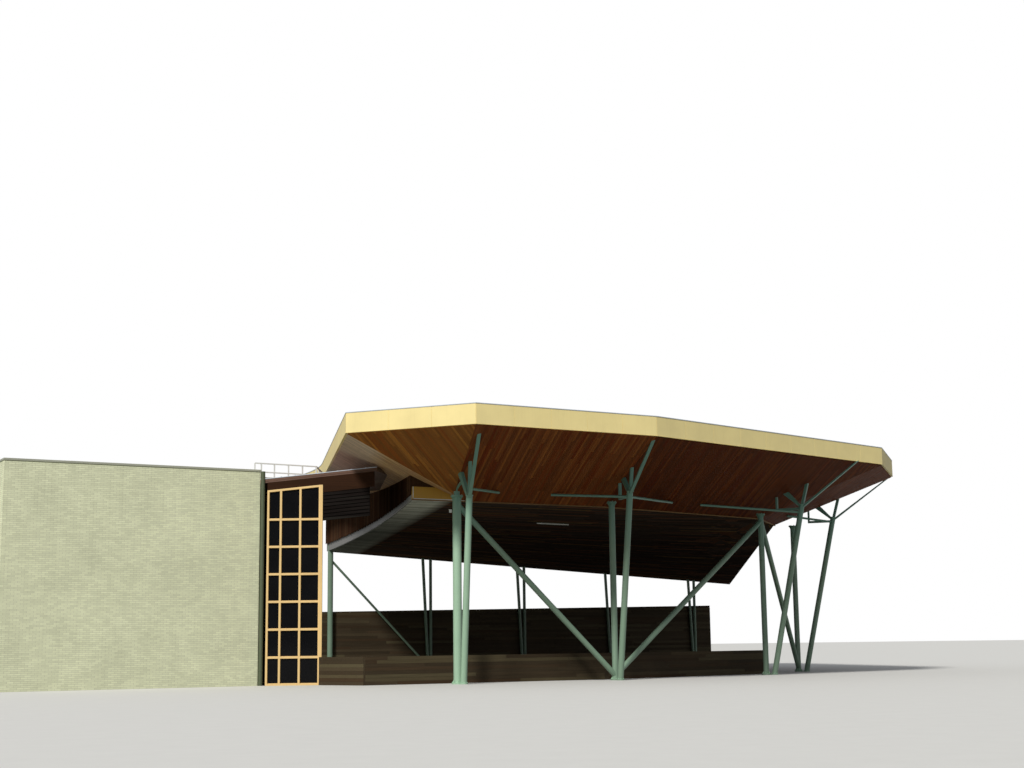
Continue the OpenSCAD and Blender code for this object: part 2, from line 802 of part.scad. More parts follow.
// Length of the rear tubes before the ceiling cuts them
rear_stock = ceiling_front_height;
function rear_foot(i) = [ceiling_rear_left + 50 + rear_bay * i, rear_post_line];

module under_ceiling() {
    difference() {
        children();
        ceiling_solid(rear_stock);
        edge_band_solid();
    }
}

// The partner tube of a pair stands this far beside its post
rear_partner = rear_tube_d * 0.9;
function rear_plate_d(i) = i == 0 ? rear_post_d + 2 * plate_margin : 2 * (rear_tube_d + rear_partner);

module leaning_tube(p) {
    translate(p)
        tube([-rear_partner, 0, plate_thick], [-rear_partner - rear_lean, 0, rear_stock], rear_tube_d);
}

module rear_post(i) {
    d = i == 0 ? rear_post_d : rear_tube_d;
    color([0.42, 0.58, 0.5])
        real_size()
            under_ceiling() {
                translate(rear_foot(i)) {
                    cylinder(h = rear_stock, d = d);
                    cylinder(h = plate_thick, d = rear_plate_d(i));
                }
                if (i > 0)
                    leaning_tube(rear_foot(i));
            }
}

module rear_brace() {
    a = rear_foot(0);
    b = rear_foot(1);
    partner = b - [rear_partner, 0];
    foot_height = 400;
    head_height = 6300;
    color([0.4, 0.5, 0.48])
        real_size()
            difference() {
                tube(at(a, head_height), at(partner, foot_height), rear_brace_d);
                translate(a) cylinder(h = rear_stock, d = rear_post_d);
                leaning_tube(b);
                translate([partner[0], b[1] - rear_tube_d, 0])
                    cube([2 * rear_partner, 2 * rear_tube_d, 2 * foot_height]);
            }
}

// Short low wall from the glazed bay's corner post to the parapet
module parapet_return() {
    a = [-parapet_reach, fold_line];
    b = bay_corner;
    n = left_of(unit(b - a)) * low_wall_thick;
    color([0.2, 0.15, 0.12])
        real_size()
            difference() {
                linear_extrude(parapet_height)
                    polygon([a + n / 2, a - n / 2, b - n / 2, b + n / 2]);
                translate(b)
                    rotate(bay_heading)
                        translate([-bay_post / 2, -bay_post / 2, -1])
                            cube([bay_post, bay_post, parapet_height + 2]);
                translate([a[0] - low_wall_thick, a[1] - low_wall_thick, -1])
                    cube([3 * low_wall_thick, low_wall_thick, parapet_height + 2]);
                translate([a[0], a[1] - 1, -1])
                    cube([2 * low_wall_thick, low_wall_thick + 1, parapet_height + 2]);
            }
}

module parapet_front() {
    color([0.2, 0.15, 0.12])
        real_size()
            translate([-parapet_reach, fold_line, 0])
                cube([fold_b[0] + parapet_reach, low_wall_thick, parapet_height]);
}

module parapet_wing() {
    color([0.2, 0.15, 0.12])
        real_size()
            linear_extrude(parapet_height)
                polygon([fold_b, fold_g, fold_g + left_of(dir(wing_turn)) * low_wall_thick,
                    fold_b + [0, low_wall_thick / cos(wing_turn)]]);
}

// The timber wall stands against the back of the thick rear post
module rear_wall() {
    left = ceiling_rear_left - 950;
    right = rear_foot(4)[0] + 1300;
    front = rear_post_line + rear_post_d / 2;
    color([0.2, 0.15, 0.12])
        real_size()
            difference() {
                translate([0, front + low_wall_thick, 0])
                    rotate([90, 0, 0])
                        linear_extrude(low_wall_thick)
                            polygon([[left, 0], [right, 0], [right, rear_wall_height + rear_wall_rise],
                                [left, rear_wall_height]]);
                for (i = [0:4])
                    translate(rear_foot(i))
                        cylinder(h = plate_thick, d = rear_plate_d(i));
            }
}

// Right front corner of the brick house
house_corner = [-6600, 5350];
house_left = house_corner[0] - house_length;

module brick() {
    color([0.78, 0.79, 0.58]) real_size() children();
}

module house_front_wall() {
    brick()
        translate([house_left, house_corner[1], 0])
            cube([house_length, house_wall, house_height]);
}

module house_side_wall(x) {
    brick()
        translate([x, house_corner[1] + house_wall, 0])
            cube([house_wall, house_depth - 2 * house_wall, house_height]);
}

module house_rear_wall() {
    brick()
        translate([house_left, house_corner[1] + house_depth - house_wall, 0])
            cube([house_length, house_wall, house_height]);
}

module house_roof() {
    drop = 450;
    slab_thick = 200;
    color([0.42, 0.42, 0.43])
        real_size()
            translate([house_left + house_wall, house_corner[1] + house_wall,
                house_height - drop - slab_thick])
                cube([house_length - 2 * house_wall, house_depth - 2 * house_wall, slab_thick]);
}

module house_coping() {
    lip = 30;
    color([0.72, 0.73, 0.66])
        real_size()
            translate([house_left - lip, house_corner[1] - lip, house_height])
                difference() {
                    cube([house_length + 2 * lip, house_depth + 2 * lip, coping_thick]);
                    translate([house_wall + 2 * lip, house_wall + 2 * lip, -1])
                        cube([house_length - 2 * house_wall - 2 * lip,
                            house_depth - 2 * house_wall - 2 * lip, coping_thick + 2]);
                }
}

module corner_downpipe() {
    color([0.55, 0.62, 0.5])
        real_size()
            translate([house_corner[0] + downpipe_d / 2, house_corner[1] - downpipe_d / 2, 0])
                cylinder(h = house_height, d = downpipe_d);
}

// Glazed bay beside the house, from the downpipe to its corner post and back along the side
bay_heading = -30;
bay_corner = [-4360, 4020];
bay_start = bay_corner - bay_front * dir(bay_heading);
bay_end = bay_corner + bay_side * dir(side_heading);
bay_in = left_of(dir(bay_heading));
side_in = left_of(dir(side_heading));
roof_start = [-6600, 5340];
roof_length = 4950;
roof_tip = roof_start + roof_length * dir(bay_heading);
function bay_roof_top(p) = bay_eaves + bay_rise * ((p - roof_start) * dir(bay_heading)) / roof_length;
function bay_roof_foot(p) = bay_roof_top(p) - bay_roof_thick;
function frame_head(p) = bay_roof_foot(p) - head_drop;
post_right = bay_corner + bay_post / 2 * dir(bay_heading);
post_left = bay_corner - bay_post / 2 * dir(bay_heading);
rails = 6;

// Upright plane along plan line a to b, its outline drawn from a
module bay_plane(a, b, thick) {
    plate_through(a, atan2(b[1] - a[1], b[0] - a[0]), thick) children();
}

// Flat frame along plan line a to b with rows of open panes, its first edges measured back from b
module pane_frame(a, b, pane, panes) {
    long = norm(b - a);
    bay_plane(a, b, bay_bar)
        difference() {
            polygon([[0, 0], [long, 0], [long, frame_head(b)], [0, frame_head(a)]]);
            for (k = [1:panes])
                for (row = [0:rails])
                    let (left = max(bay_bar, long - k * pane + bay_bar / 2),
                        right = long - (k - 1) * pane - bay_bar / 2,
                        low = row * pane_height + (row == 0 ? bay_bar : bay_bar / 2),
                        high = (row + 1) * pane_height - bay_bar / 2,
                        head_left = frame_head(mix(a, b, left / long)) - bay_bar,
                        head_right = frame_head(mix(a, b, right / long)) - bay_bar)
                    polygon([[left, low], [right, low],
                        [right, row == rails ? head_right : high], [left, row == rails ? head_left : high]]);
        }
}

module bay_front_frame() {
    color([0.85, 0.6, 0.25])
        real_size() {
            pane_frame(bay_start, post_left, pane_width, 3);
            translate(bay_corner)
                rotate(bay_heading)
                    translate([-bay_post / 2, -bay_post / 2, 0])
                        cube([bay_post, bay_post, frame_head(post_left)]);
        }
}

// The side starts where its near corner touches the corner post
side_skew = 90 + bay_heading - side_heading;
side_start = bay_corner
    + (bay_post / 2 / cos(side_skew) + bay_bar / 2 * tan(abs(side_skew))) * dir(side_heading);
side_panes = 7;

module bay_side_frame() {
    side_pane = (norm(bay_end - side_start) - bay_bar / 2) / side_panes;
    color([0.7, 0.48, 0.22])
        real_size()
            pane_frame(bay_end, side_start, side_pane, side_panes);
}

module bay_back_wall() {
    front = bay_end[1] + bay_bar / 2;
    back = front + low_wall_thick;
    left = house_corner[0];
    right = bay_end[0] + bay_bar / 2;
    color([0.5, 0.36, 0.22])
        real_size()
            translate([0, back, 0])
                rotate([90, 0, 0])
                    linear_extrude(low_wall_thick)
                        polygon([[left, 0], [right, 0], [right, bay_roof_foot([right, back])],
                            [left, bay_roof_foot([left, back])]]);
}

// The lean-to roof runs from the house up to the left soffit
module bay_roof() {
    back = bay_end[1] + bay_bar / 2 + low_wall_thick;
    first = 3;
    last = 7;
    meeting = [for (k = [first:last]) edge(k / edge_steps) - [drum_thick, 0]];
    plan = concat([[roof_start[0], back], roof_start, roof_tip], meeting);
    color([0.42, 0.33, 0.28])
        real_size()
            difference() {
                intersection() {
                    fan_slab([for (p = plan) at(p, bay_roof_foot(p))], bay_roof_thick);
                    translate([roof_start[0], 0, 0])
                        cube([3 * roof_length, back, fascia_foot]);
                }
                left_soffit_solid(cut_height);
            }
}

// Beam under the lean-to roof from plan point a to b, its foot at the heights za and zb
module roof_beam(a, b, inward, za, zb) {
    n = inward * bay_bar / 2;
    ribbon([
        [at(a - n, za), at(a - n, bay_roof_foot(a - n)), at(a + n, bay_roof_foot(a + n)), at(a + n, za)],
        [at(b - n, zb), at(b - n, bay_roof_foot(b - n)), at(b + n, bay_roof_foot(b + n)), at(b + n, zb)]]);
}

beam_end = roof_tip - 100 * dir(bay_heading);

module bay_beam() {
    side_from = bay_corner + bay_bar / 2 * dir(side_heading);
    color([0.62, 0.33, 0.14])
        real_size() {
            roof_beam(bay_start, post_right, bay_in, frame_head(bay_start), frame_head(post_right));
            roof_beam(post_right, beam_end, bay_in, bay_roof_foot(post_right) - beam_deep,
                bay_roof_foot(beam_end) - beam_deep);
            difference() {
                roof_beam(side_from, bay_end, side_in, frame_head(side_from), frame_head(bay_end));
                translate(at(bay_corner, frame_head(bay_corner) - head_drop))
                    rotate(bay_heading)
                        translate([-bay_bar / 2, -bay_bar / 2, 0])
                            cube([2 * bay_bar, bay_bar, 3 * head_drop]);
            }
        }
}

board_height = 150;
board_count = 8;
board_thick = 40;

module lapped_boards() {
    a = post_right;
    b = beam_end - 200 * dir(bay_heading);
    top_a = bay_roof_foot(a) - beam_deep;
    top_b = bay_roof_foot(b) - beam_deep;
    n = bay_in * board_thick / 2;
    color([0.6, 0.55, 0.42])
        real_size() {
            for (k = [0:board_count - 1])
                let (step = k * board_height, lean = bay_in * board_thick)
                ribbon([for (e = [[a, top_a - step], [b, top_b - step]])
                    [at(e[0] - n - lean, e[1] - board_height), at(e[0] - n, e[1]),
                        at(e[0] + n, e[1]), at(e[0] + n, e[1] - board_height)]]);
        }
}

// Sheet of glass against the inner face of the frame along plan line a to b
module bay_pane(a, b, inward) {
    foot = bay_bar / 2;
    off = inward * (bay_bar + glass_thick) / 2;
    bay_plane(a + off, b + off, glass_thick)
        polygon([[0, foot], [norm(b - a), foot], [norm(b - a), frame_head(b) - foot],
            [0, frame_head(a) - foot]]);
}

module bay_glass() {
    color([0.6, 0.7, 0.72, 0.4])
        real_size() {
            bay_pane(bay_start, post_left, bay_in);
            bay_pane(side_start + bay_bar * dir(side_heading), bay_end, side_in);
        }
}

// White railing on the lean-to roof: along its front, then back along its side
module roof_railing() {
    line = house_corner[1] + house_wall / 2;
    w = railing_d;
    a = [house_corner[0] - railing_reach, line];
    b = [-3900, line + 200];
    c = b + railing_side * dir(61);
    start = mix(a, b, (railing_reach + w) / (b[0] - a[0]));
    top = bay_eaves + railing_height;
    middle = top - middle_rail_drop;
    low = top - low_rail_drop;
    module stand(p, foot) {
        translate(at(p - [w, w] / 2, foot))
            cube([w, w, top - w / 2 - foot]);
    }
    color([0.92, 0.92, 0.92])
        real_size() {
            bar(a, b, w, w, top - w);
            bar(start, b, w, w, middle - w);
            bar(start, mix(start, b, 0.25), w, w, low - w);
            for (z = [top, middle])
                bar(b, c, w, w, z - w);
            stand(a, house_height + coping_thick);
            for (t = [0.02, 0.25, 0.5, 0.75, 1])
                let (p = mix(start, b, t))
                stand(p, bay_roof_top(p - [w, 0]));
            for (t = [0.33, 0.66, 1])
                let (p = mix(b, c, t))
                stand(p, bay_roof_top(p - [w, 0]));
        }
}

fascia_left();
fascia_panel(0);  // fascia_corner
fascia_panel(1);  // fascia_front
fascia_panel(2);  // fascia_wing
fascia_panel(3);  // fascia_far_corner
fascia_panel(4);  // fascia_right
fascia_panel(5);  // fascia_rear
fascia_cap();
roof_deck();
soffit_left();
soffit_left_rear();
soffit_corner();
soffit_front();
soffit_wing();
soffit_far_corner();
soffit_right();
soffit_rear();
low_ceiling();
ceiling_trim();
edge_band_front();
edge_band_left();
drum_left();
drum_right();
drum_rear();
upright(0);  // front_post_1
upright(1);  // front_post_2
upright(2);  // front_post_3
upright(3);  // front_post_4
tree_head(0);  // tree_head_1
tree_head(1);  // tree_head_2
tree_head(2);  // tree_head_3
tree_head(3);  // tree_head_4
brace(0, 1);  // brace_1
brace(2, 1);  // brace_2
brace(2, 3);  // brace_3
rear_post(0);  // rear_post_1
rear_post(1);  // rear_post_2
rear_post(2);  // rear_post_3
rear_post(3);  // rear_post_4
rear_post(4);  // rear_post_5
rear_brace();
parapet_return();
parapet_front();
parapet_wing();
rear_wall();
house_front_wall();
house_side_wall(house_left);  // house_left_wall
house_side_wall(house_corner[0] - house_wall);  // house_right_wall
house_rear_wall();
house_roof();
house_coping();
corner_downpipe();
roof_railing();
bay_front_frame();
bay_side_frame();
bay_back_wall();
bay_roof();
bay_beam();
lapped_boards();
bay_glass();
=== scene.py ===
"""Boards, panels, bolts, finishes, light and camera of a bandstand with a faceted canopy roof.

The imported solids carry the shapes. This script lays boards and panels on them, in the same frame.
"""
import math
import random

import bmesh
import bpy
from bpy.props import FloatProperty, FloatVectorProperty, IntProperty, PointerProperty
from mathutils import Matrix, Vector
from mathutils.bvhtree import BVHTree


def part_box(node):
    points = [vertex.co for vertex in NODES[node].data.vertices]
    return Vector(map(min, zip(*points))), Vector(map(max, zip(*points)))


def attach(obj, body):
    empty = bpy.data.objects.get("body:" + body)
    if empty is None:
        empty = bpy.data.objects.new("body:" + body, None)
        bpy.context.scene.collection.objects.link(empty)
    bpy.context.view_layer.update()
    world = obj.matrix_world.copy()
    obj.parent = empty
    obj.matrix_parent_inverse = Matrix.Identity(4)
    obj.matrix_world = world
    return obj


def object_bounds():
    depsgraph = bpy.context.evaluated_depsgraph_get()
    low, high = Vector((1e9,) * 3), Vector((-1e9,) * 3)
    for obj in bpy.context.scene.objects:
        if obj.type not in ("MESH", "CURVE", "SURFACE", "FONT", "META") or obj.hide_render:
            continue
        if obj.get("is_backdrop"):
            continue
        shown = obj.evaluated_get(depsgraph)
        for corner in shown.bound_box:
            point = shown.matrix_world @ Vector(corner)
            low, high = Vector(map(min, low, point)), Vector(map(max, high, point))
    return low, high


bl_info = {
    "name": "Bandstand",
    "version": (1, 0, 0),
    "blender": (4, 5, 0),
    "location": "3D View > Sidebar > Bandstand",
    "description": "Lays boards, panels and finishes on the solids of a faceted canopy bandstand",
    "category": "Object",
}

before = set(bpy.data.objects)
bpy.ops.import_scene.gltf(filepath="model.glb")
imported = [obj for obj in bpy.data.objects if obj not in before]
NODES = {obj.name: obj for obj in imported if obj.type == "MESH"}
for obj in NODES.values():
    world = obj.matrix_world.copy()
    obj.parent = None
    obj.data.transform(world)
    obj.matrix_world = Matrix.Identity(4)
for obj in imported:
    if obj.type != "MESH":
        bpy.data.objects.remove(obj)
CAD_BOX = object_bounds()

# The model is half the size of the building
MODEL_RATIO = 0.5
UP = Vector((0, 0, 1))
DOWN = -UP
ROOF_MIDDLE = (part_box("roof_deck")[0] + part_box("roof_deck")[1]) / 2


def real(millimetres):
    """Model length in metres of a length on the building in millimetres."""
    return millimetres * MODEL_RATIO / 1000


def place(x, y, z):
    """Model point of a point on the building, in millimetres."""
    return Vector((real(x), real(y), real(z)))


def heading(degrees):
    """Level direction, in degrees from the front edge's own direction."""
    return Vector((math.cos(math.radians(degrees)), math.sin(math.radians(degrees)), 0))


# Sizes and colours that a user would change

def length(name, text, value, low, high):
    """Length property, from its default, least and most in millimetres on the building."""
    return FloatProperty(name=name, description=text, default=real(value), min=real(low),
        max=real(high), unit="LENGTH")


class BandstandSizes(bpy.types.PropertyGroup):
    """Sizes of the boards, panels and bricks, as model lengths."""

    board_width: length("Board width", "Width of one soffit board", 105, 60, 300)
    board_thick: length("Board thickness", "Thickness of the boards", 18, 8, 40)
    board_gap: length("Board joint", "Open joint between two boards", 6, 2, 20)
    board_length: length("Board length", "Longest board before a butt joint", 6000, 1500, 9000)
    ceiling_board_width: length(
        "Ceiling board width", "Width of one board of the low ceiling", 180, 80, 400)
    wall_board_width: length(
        "Wall board width", "Width of one board of the low timber walls", 145, 80, 300)
    cladding_board_width: length(
        "Cladding board width", "Width of one upright board of the edge cladding", 150, 80, 300)
    panel_length: length("Fascia panel length", "Length of one fascia panel", 1850, 900, 4000)
    panel_thick: length(
        "Fascia panel thickness", "Thickness of the fascia panels' facing", 12, 4, 20)
    panel_joint: length("Fascia joint", "Open joint between two fascia panels", 12, 4, 40)
    brick_length: length("Brick length", "Length of one brick with its mortar", 260, 150, 400)
    brick_height: length("Brick height", "Height of one course with its mortar", 77, 50, 250)
    bolt_width: length("Bolt head", "Width of the bolt heads on the steel plates", 46, 20, 80)
    tooth: length(
        "Cladding step", "Step between neighbours at the cladding's toothed foot", 90, 0, 200)


def colour(name, text, value):
    """Colour property with a name, a description and a default."""
    return FloatVectorProperty(name=name, description=text, subtype="COLOR", size=3,
        min=0, max=1, default=value)


class BandstandColours(bpy.types.PropertyGroup):
    """Colours of the finishes."""

    fascia: colour("Fascia", "Cream facing of the fascia", (0.98, 0.82, 0.39))
    flashing: colour("Flashing", "Metal cap of the fascia", (0.62, 0.68, 0.78))
    roofing: colour("Roofing", "Felt on the canopy's flat roof", (0.16, 0.16, 0.17))
    gravel: colour("Gravel", "Pale gravel on the stage house's roof", (0.42, 0.40, 0.36))
    # Painted light and shade: the corner, front and wing boards are three copies of one timber,
    # lighter at the lit corner and darker further in
    corner_boards: colour("Corner boards", "Boards of the left corner facet", (0.41, 0.155, 0.038))
    front_boards: colour("Front boards", "Boards of the front facet", (0.25, 0.075, 0.022))
    wing_boards: colour("Wing boards", "Boards of the long facet and beyond", (0.12, 0.03, 0.007))
    # Painted light: the left side's boards are a greyer, paler tan than the others for the light
    # falling on that side
    side_boards: colour("Side boards", "Greyer boards of the left side", (0.55, 0.325, 0.175))
    # Painted light: a pale glow on the left side's boards next to the fascia, from light reflected
    # up onto them
    side_reflected_light: colour("Lit side boards", "Side boards next to the fascia", (0.74, 0.58, 0.5))
    ceiling_dark: colour("Low ceiling", "Boards of the low ceiling", (0.088, 0.062, 0.056))
    # Partly paler boards, partly painted light: the low ceiling's left front, where daylight
    # reaches in
    ceiling_pale: colour(
        "Low ceiling's edge", "Paler boards near the low ceiling's left front", (0.84, 0.83, 0.82))
    batten: colour("Fold batten", "Batten along the low ceiling's fold", (0.30, 0.17, 0.085))
    cladding: colour("Cladding", "Boards over the low ceiling's edge", (0.065, 0.034, 0.021))
    band: colour("Edge band", "Band over the low ceiling's front edge", (0.62, 0.35, 0.055))
    # The first post stands in the sun; the other front posts take a darker copy of this green as
    # painted shade
    steel: colour("Steelwork", "Sage green paint of the first post", (0.38, 0.57, 0.42))
    # Painted shade: the darker green that the posts' paint turns to high up, under the canopy
    steel_in_shade: colour(
        "Steelwork, high up", "Shadowed green of the posts' heads", (0.11, 0.29, 0.25))
    dark_timber: colour(
        "Low walls", "Dark timber of the parapet and rear wall", (0.065, 0.048, 0.030))
    brick: colour("Brick", "Pale bricks of the stage house", (0.84, 0.87, 0.62))
    mortar: colour("Mortar", "Joints between the bricks", (0.6, 0.6, 0.45))
    coping: colour("Coping", "Metal coping of the stage house", (0.45, 0.46, 0.38))
    downpipe: colour("Downpipe", "Paint of the corner downpipe", (0.085, 0.105, 0.06))
    bay_paint: colour("Bay bars", "Amber paint of the glazed bay", (0.86, 0.6, 0.27))
    # Painted shade: the beam's dark brown is darkened for the shade under the lean-to roof's
    # overhang
    beam: colour("Bay beam", "Dark brown beam under the lean-to roof", (0.036, 0.015, 0.007))
    lean_to: colour("Lean-to edge", "Edge boards of the lean-to roof", (0.17, 0.105, 0.082))
    # Painted shade: the grey-brown boards are darkened nearly to black for the deep shade under the
    # beam
    lapped: colour("Lapped boards", "Grey-brown boards under the beam", (0.011, 0.009, 0.0085))
    white_paint: colour("White paint", "Railing, rims and lamps", (0.83, 0.84, 0.84))


class BandstandSettings(bpy.types.PropertyGroup):
    """Everything that the panel shows."""

    sizes: PointerProperty(type=BandstandSizes)
    colours: PointerProperty(type=BandstandColours)
    seed: IntProperty(
        name="Seed", description="Start of the random board tones and joints", default=7, min=0)


def sizes():
    return bpy.context.scene.bandstand.sizes


def colours():
    return bpy.context.scene.bandstand.colours


# Steps of the seed that keep the random draws of the pieces apart
CEILING_DRAWS, CLADDING_DRAWS, WALL_DRAWS, BAY_DRAWS = 20, 40, 60, 80


def draws(step):
    """Random numbers of one piece, by its step of the seed."""
    return random.Random(bpy.context.scene.bandstand.seed + step)


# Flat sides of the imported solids

def key_of(point):
    """Point rounded to a tenth of a millimetre, so that shared corners are one."""
    return tuple(round(value, 4) for value in point)


def reach_of(outline):
    """Longest distance from an outline's first corner."""
    return max((p - outline[0]).length for p in outline)


def straightened(outline):
    """The outline without corners that lie on a straight run."""
    kept = []
    for i, p in enumerate(outline):
        before, after = outline[i - 1], outline[(i + 1) % len(outline)]
        if (p - before).cross(after - p).length > 1e-7:
            kept.append(p)
    return kept


def outlines_of(mesh, faces):
    """Closed outlines round a group of faces, the furthest reaching first."""
    edges = {}
    for face in faces:
        corners = [mesh.vertices[i].co.copy() for i in face.vertices]
        for a, b in zip(corners, corners[1:] + corners[:1]):
            edges[(key_of(a), key_of(b))] = b
    following = {a: (b, end) for (a, b), end in edges.items() if (b, a) not in edges}
    outlines = []
    while following:
        step = next(iter(following))
        outline = []
        while step in following:
            step, end = following.pop(step)
            outline.append(end)
        if len(outline) > 2:
            outlines.append(straightened(outline))
    return sorted(outlines, key=reach_of, reverse=True)


def flat_sides(node, accept, holes=False):
    """Flat sides of a node, each as (outline, normal), or the holes in them.

    A side counts where accept agrees to its normal and a point on it.
    """
    mesh = NODES[node].data
    same_turn, same_plane = 0.02, 0.003
    groups = []
    for face in mesh.polygons:
        n = face.normal
        if face.area < 1e-6 or not accept(n, face.center):
            continue
        for faces in groups:
            first = faces[0]
            if ((first.normal - n).length < same_turn
                    and abs(n.dot(face.center - first.center)) < same_plane):
                faces.append(face)
                break
        else:
            groups.append([face])
    sides = []
    for faces in groups:
        outlines = outlines_of(mesh, faces)
        wanted = outlines[1:] if holes else outlines[:1]
        sides += [(outline, faces[0].normal.copy()) for outline in wanted]
    return sides


def underside(node):
    """Flat sides of a node that face down."""
    return flat_sides(node, lambda n, at: n.z < -0.5)


def outward_sides(node):
    """Upright sides of a roof node that face away from the middle of the roof."""
    return flat_sides(node,
        lambda n, at: abs(n.z) < 0.1 and n.dot((at - ROOF_MIDDLE).normalized()) > 0.3)


def tree_of(node):
    """Search tree of a node's mesh, for rays that look for its surface."""
    mesh = NODES[node].data
    return BVHTree.FromPolygons(
        [v.co for v in mesh.vertices], [f.vertices for f in mesh.polygons])


# Stock that a piece is built from

def clip_by(outline, index, limit, above):
    """Part of a 2-D outline above or below a limit on one of its coordinates."""
    kept = []
    for i, p in enumerate(outline):
        q = outline[i - 1]
        p_in = (p[index] - limit) * above >= 0
        q_in = (q[index] - limit) * above >= 0
        if p_in != q_in:
            t = (limit - q[index]) / (p[index] - q[index])
            kept.append((q[0] + (p[0] - q[0]) * t, q[1] + (p[1] - q[1]) * t))
        if p_in:
            kept.append(p)
    return kept


def clip_to_box(outline, low_x, high_x, low_y, high_y):
    """Part of a 2-D outline in a box, or nothing."""
    for index, limit, above in ((0, low_x, 1), (0, high_x, -1), (1, low_y, 1), (1, high_y, -1)):
        outline = clip_by(outline, index, limit, above)
        if len(outline) < 3:
            return []
    return outline


def area_of(outline):
    """Area of a 2-D outline."""
    following = outline[1:] + outline[:1]
    return 0.5 * abs(sum(p[0] * q[1] - q[0] * p[1] for p, q in zip(outline, following)))


def spokes_of(axis, count, start=0.0):
    """Directions square to an axis, evenly round it."""
    side = axis.orthogonal().normalized()
    other = axis.cross(side)
    angles = [start + 2 * math.pi * k / count for k in range(count)]
    return [side * math.cos(t) + other * math.sin(t) for t in angles]


class Stock:
    """Points and faces of one piece, gathered part by part."""

    def __init__(self):
        self.points = []
        self.faces = []

    def prism(self, near, far):
        """Closed solid between two outlines with the same number of corners."""
        n = len(near)
        first = len(self.points)
        self.points += [Vector(p) for p in near] + [Vector(p) for p in far]
        self.faces.append([first + i for i in range(n)])
        self.faces.append([first + n + i for i in reversed(range(n))])
        for i in range(n):
            j = (i + 1) % n
            self.faces.append([first + i, first + n + i, first + n + j, first + j])

    def block(self, corner, along, across, up):
        """Box from one corner and its three edges."""
        near = [corner, corner + along, corner + along + across, corner + across]
        self.prism(near, [p + up for p in near])

    def rod(self, a, b, radius, sides=16):
        """Round or many-sided rod from a to b."""
        spokes = spokes_of((b - a).normalized(), sides)
        self.prism([a + s * radius for s in spokes], [b + s * radius for s in spokes])

    def bolt(self, foot, axis, width):
        """Hexagonal head on a washer, with the end of the shank."""
        washer, head, shank = axis * width * 0.12, axis * width * 0.5, axis * width * 0.85
        self.rod(foot, foot + washer, width * 0.62, 16)
        self.rod(foot + washer, foot + head, width * 0.5, 6)
        self.rod(foot + head, foot + shank, width * 0.26, 10)

    def bolts_round(self, centre, axis, radius, count, width, start=0.0):
        """Bolts evenly round a centre."""
        for spoke in spokes_of(axis, count, start):
            self.bolt(centre + spoke * radius, axis, width)

    def finish(self, name, material, slot, bevel=0.0, smooth=False):
        """Makes the mesh object, gives it its material and hangs it on the building."""
        mesh = bpy.data.meshes.new(name)
        mesh.from_pydata([p[:] for p in self.points], [], self.faces)
        piece = bpy.data.objects.new(name, mesh)
        bpy.context.scene.collection.objects.link(piece)
        shape = bmesh.new()
        shape.from_mesh(mesh)
        bmesh.ops.recalc_face_normals(shape, faces=shape.faces)
        shape.to_mesh(mesh)
        shape.free()
        if smooth:
            mesh.shade_smooth()
            mesh.set_sharp_from_angle(angle=math.radians(35))
        mesh.materials.append(material)
        if bevel:
            edge = piece.modifiers.new("worn_edges", "BEVEL")
            edge.width = bevel
            edge.segments = 1
            edge.limit_method = "ANGLE"
            edge.angle_limit = math.radians(40)
        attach(piece, "root")


def laid_flat(outline, normal, along):
    """A flat side's outline in its own plane, with X along a direction, and the way back."""
    run = (along - normal * along.dot(normal)).normalized()
    side = normal.cross(run)
    origin = outline[0]
    flat = [((p - origin).dot(run), (p - origin).dot(side)) for p in outline]
    return flat, lambda p: origin + run * p[0] + side * p[1]


def cut_boards(flat, width, longest, rng, even=False):
    """Boards that cover a 2-D outline in rows, with open joints that break at random.

    Even boards are all as long as the longest. Slivers are left out.
    """
    shortest, least = 0.7, width * width * 0.2
    joint = sizes().board_gap / 2
    low_x, high_x = min(p[0] for p in flat), max(p[0] for p in flat)
    low_y, high_y = min(p[1] for p in flat), max(p[1] for p in flat)
    rows = max(1, round((high_y - low_y) / width))
    pitch = (high_y - low_y) / rows
    for row in range(rows):
        y = low_y + row * pitch
        x = low_x - rng.random() * longest
        while x < high_x:
            end = x + (longest if even else longest * rng.uniform(shortest, 1.0))
            board = clip_to_box(flat, x + joint, end - joint, y + joint, y + pitch - joint)
            if board and area_of(board) > least:
                yield board
            x = end


def lay_boards(stock, outline, normal, along, width, thick, rng, longest=None):
    """Boards on a flat side, along a direction. Some stand a little less proud than others."""
    out = normal.normalized()
    flat, back_on = laid_flat(outline, out, along)
    for board in cut_boards(flat, width, longest or sizes().board_length, rng):
        back = [back_on(p) for p in board]
        lift = thick * rng.uniform(0.86, 1.0)
        stock.prism(back, [p + out * lift for p in back])


def lay_ribs(stock, outline, normal, along, pitch, width, height):
    """Narrow ribs on a flat side, a pitch apart. They run along a direction."""
    flat, back_on = laid_flat(outline, normal, along)
    left, right = min(p[0] for p in flat), max(p[0] for p in flat)
    low, high = min(p[1] for p in flat), max(p[1] for p in flat)
    y = low + pitch
    while y + width < high:
        strip = clip_to_box(flat, left, right, y, y + width)
        if strip:
            foot = [back_on(p) for p in strip]
            stock.prism(foot, [p + normal * height for p in foot])
        y += pitch


def shares_of(a, b, width):
    """Start and end of each board between two points, as shares of the way."""
    parts = max(1, round((b - a).length / width))
    joint = sizes().board_gap / (b - a).length / 2
    return [(i / parts + joint, (i + 1) / parts - joint) for i in range(parts)]


# Finishes

# Places of the colour sockets among the Mix node's inputs and outputs
MIX_A, MIX_B, MIX_RESULT = 6, 7, 2
GRAIN_ALONG, GRAIN_ACROSS = 1.6, 42.0


def shaded(base, *factors):
    """Colour times one factor, or times one for each of its channels."""
    factors = factors * 3 if len(factors) == 1 else factors
    return tuple(min(1.0, c * k) for c, k in zip(base, factors))


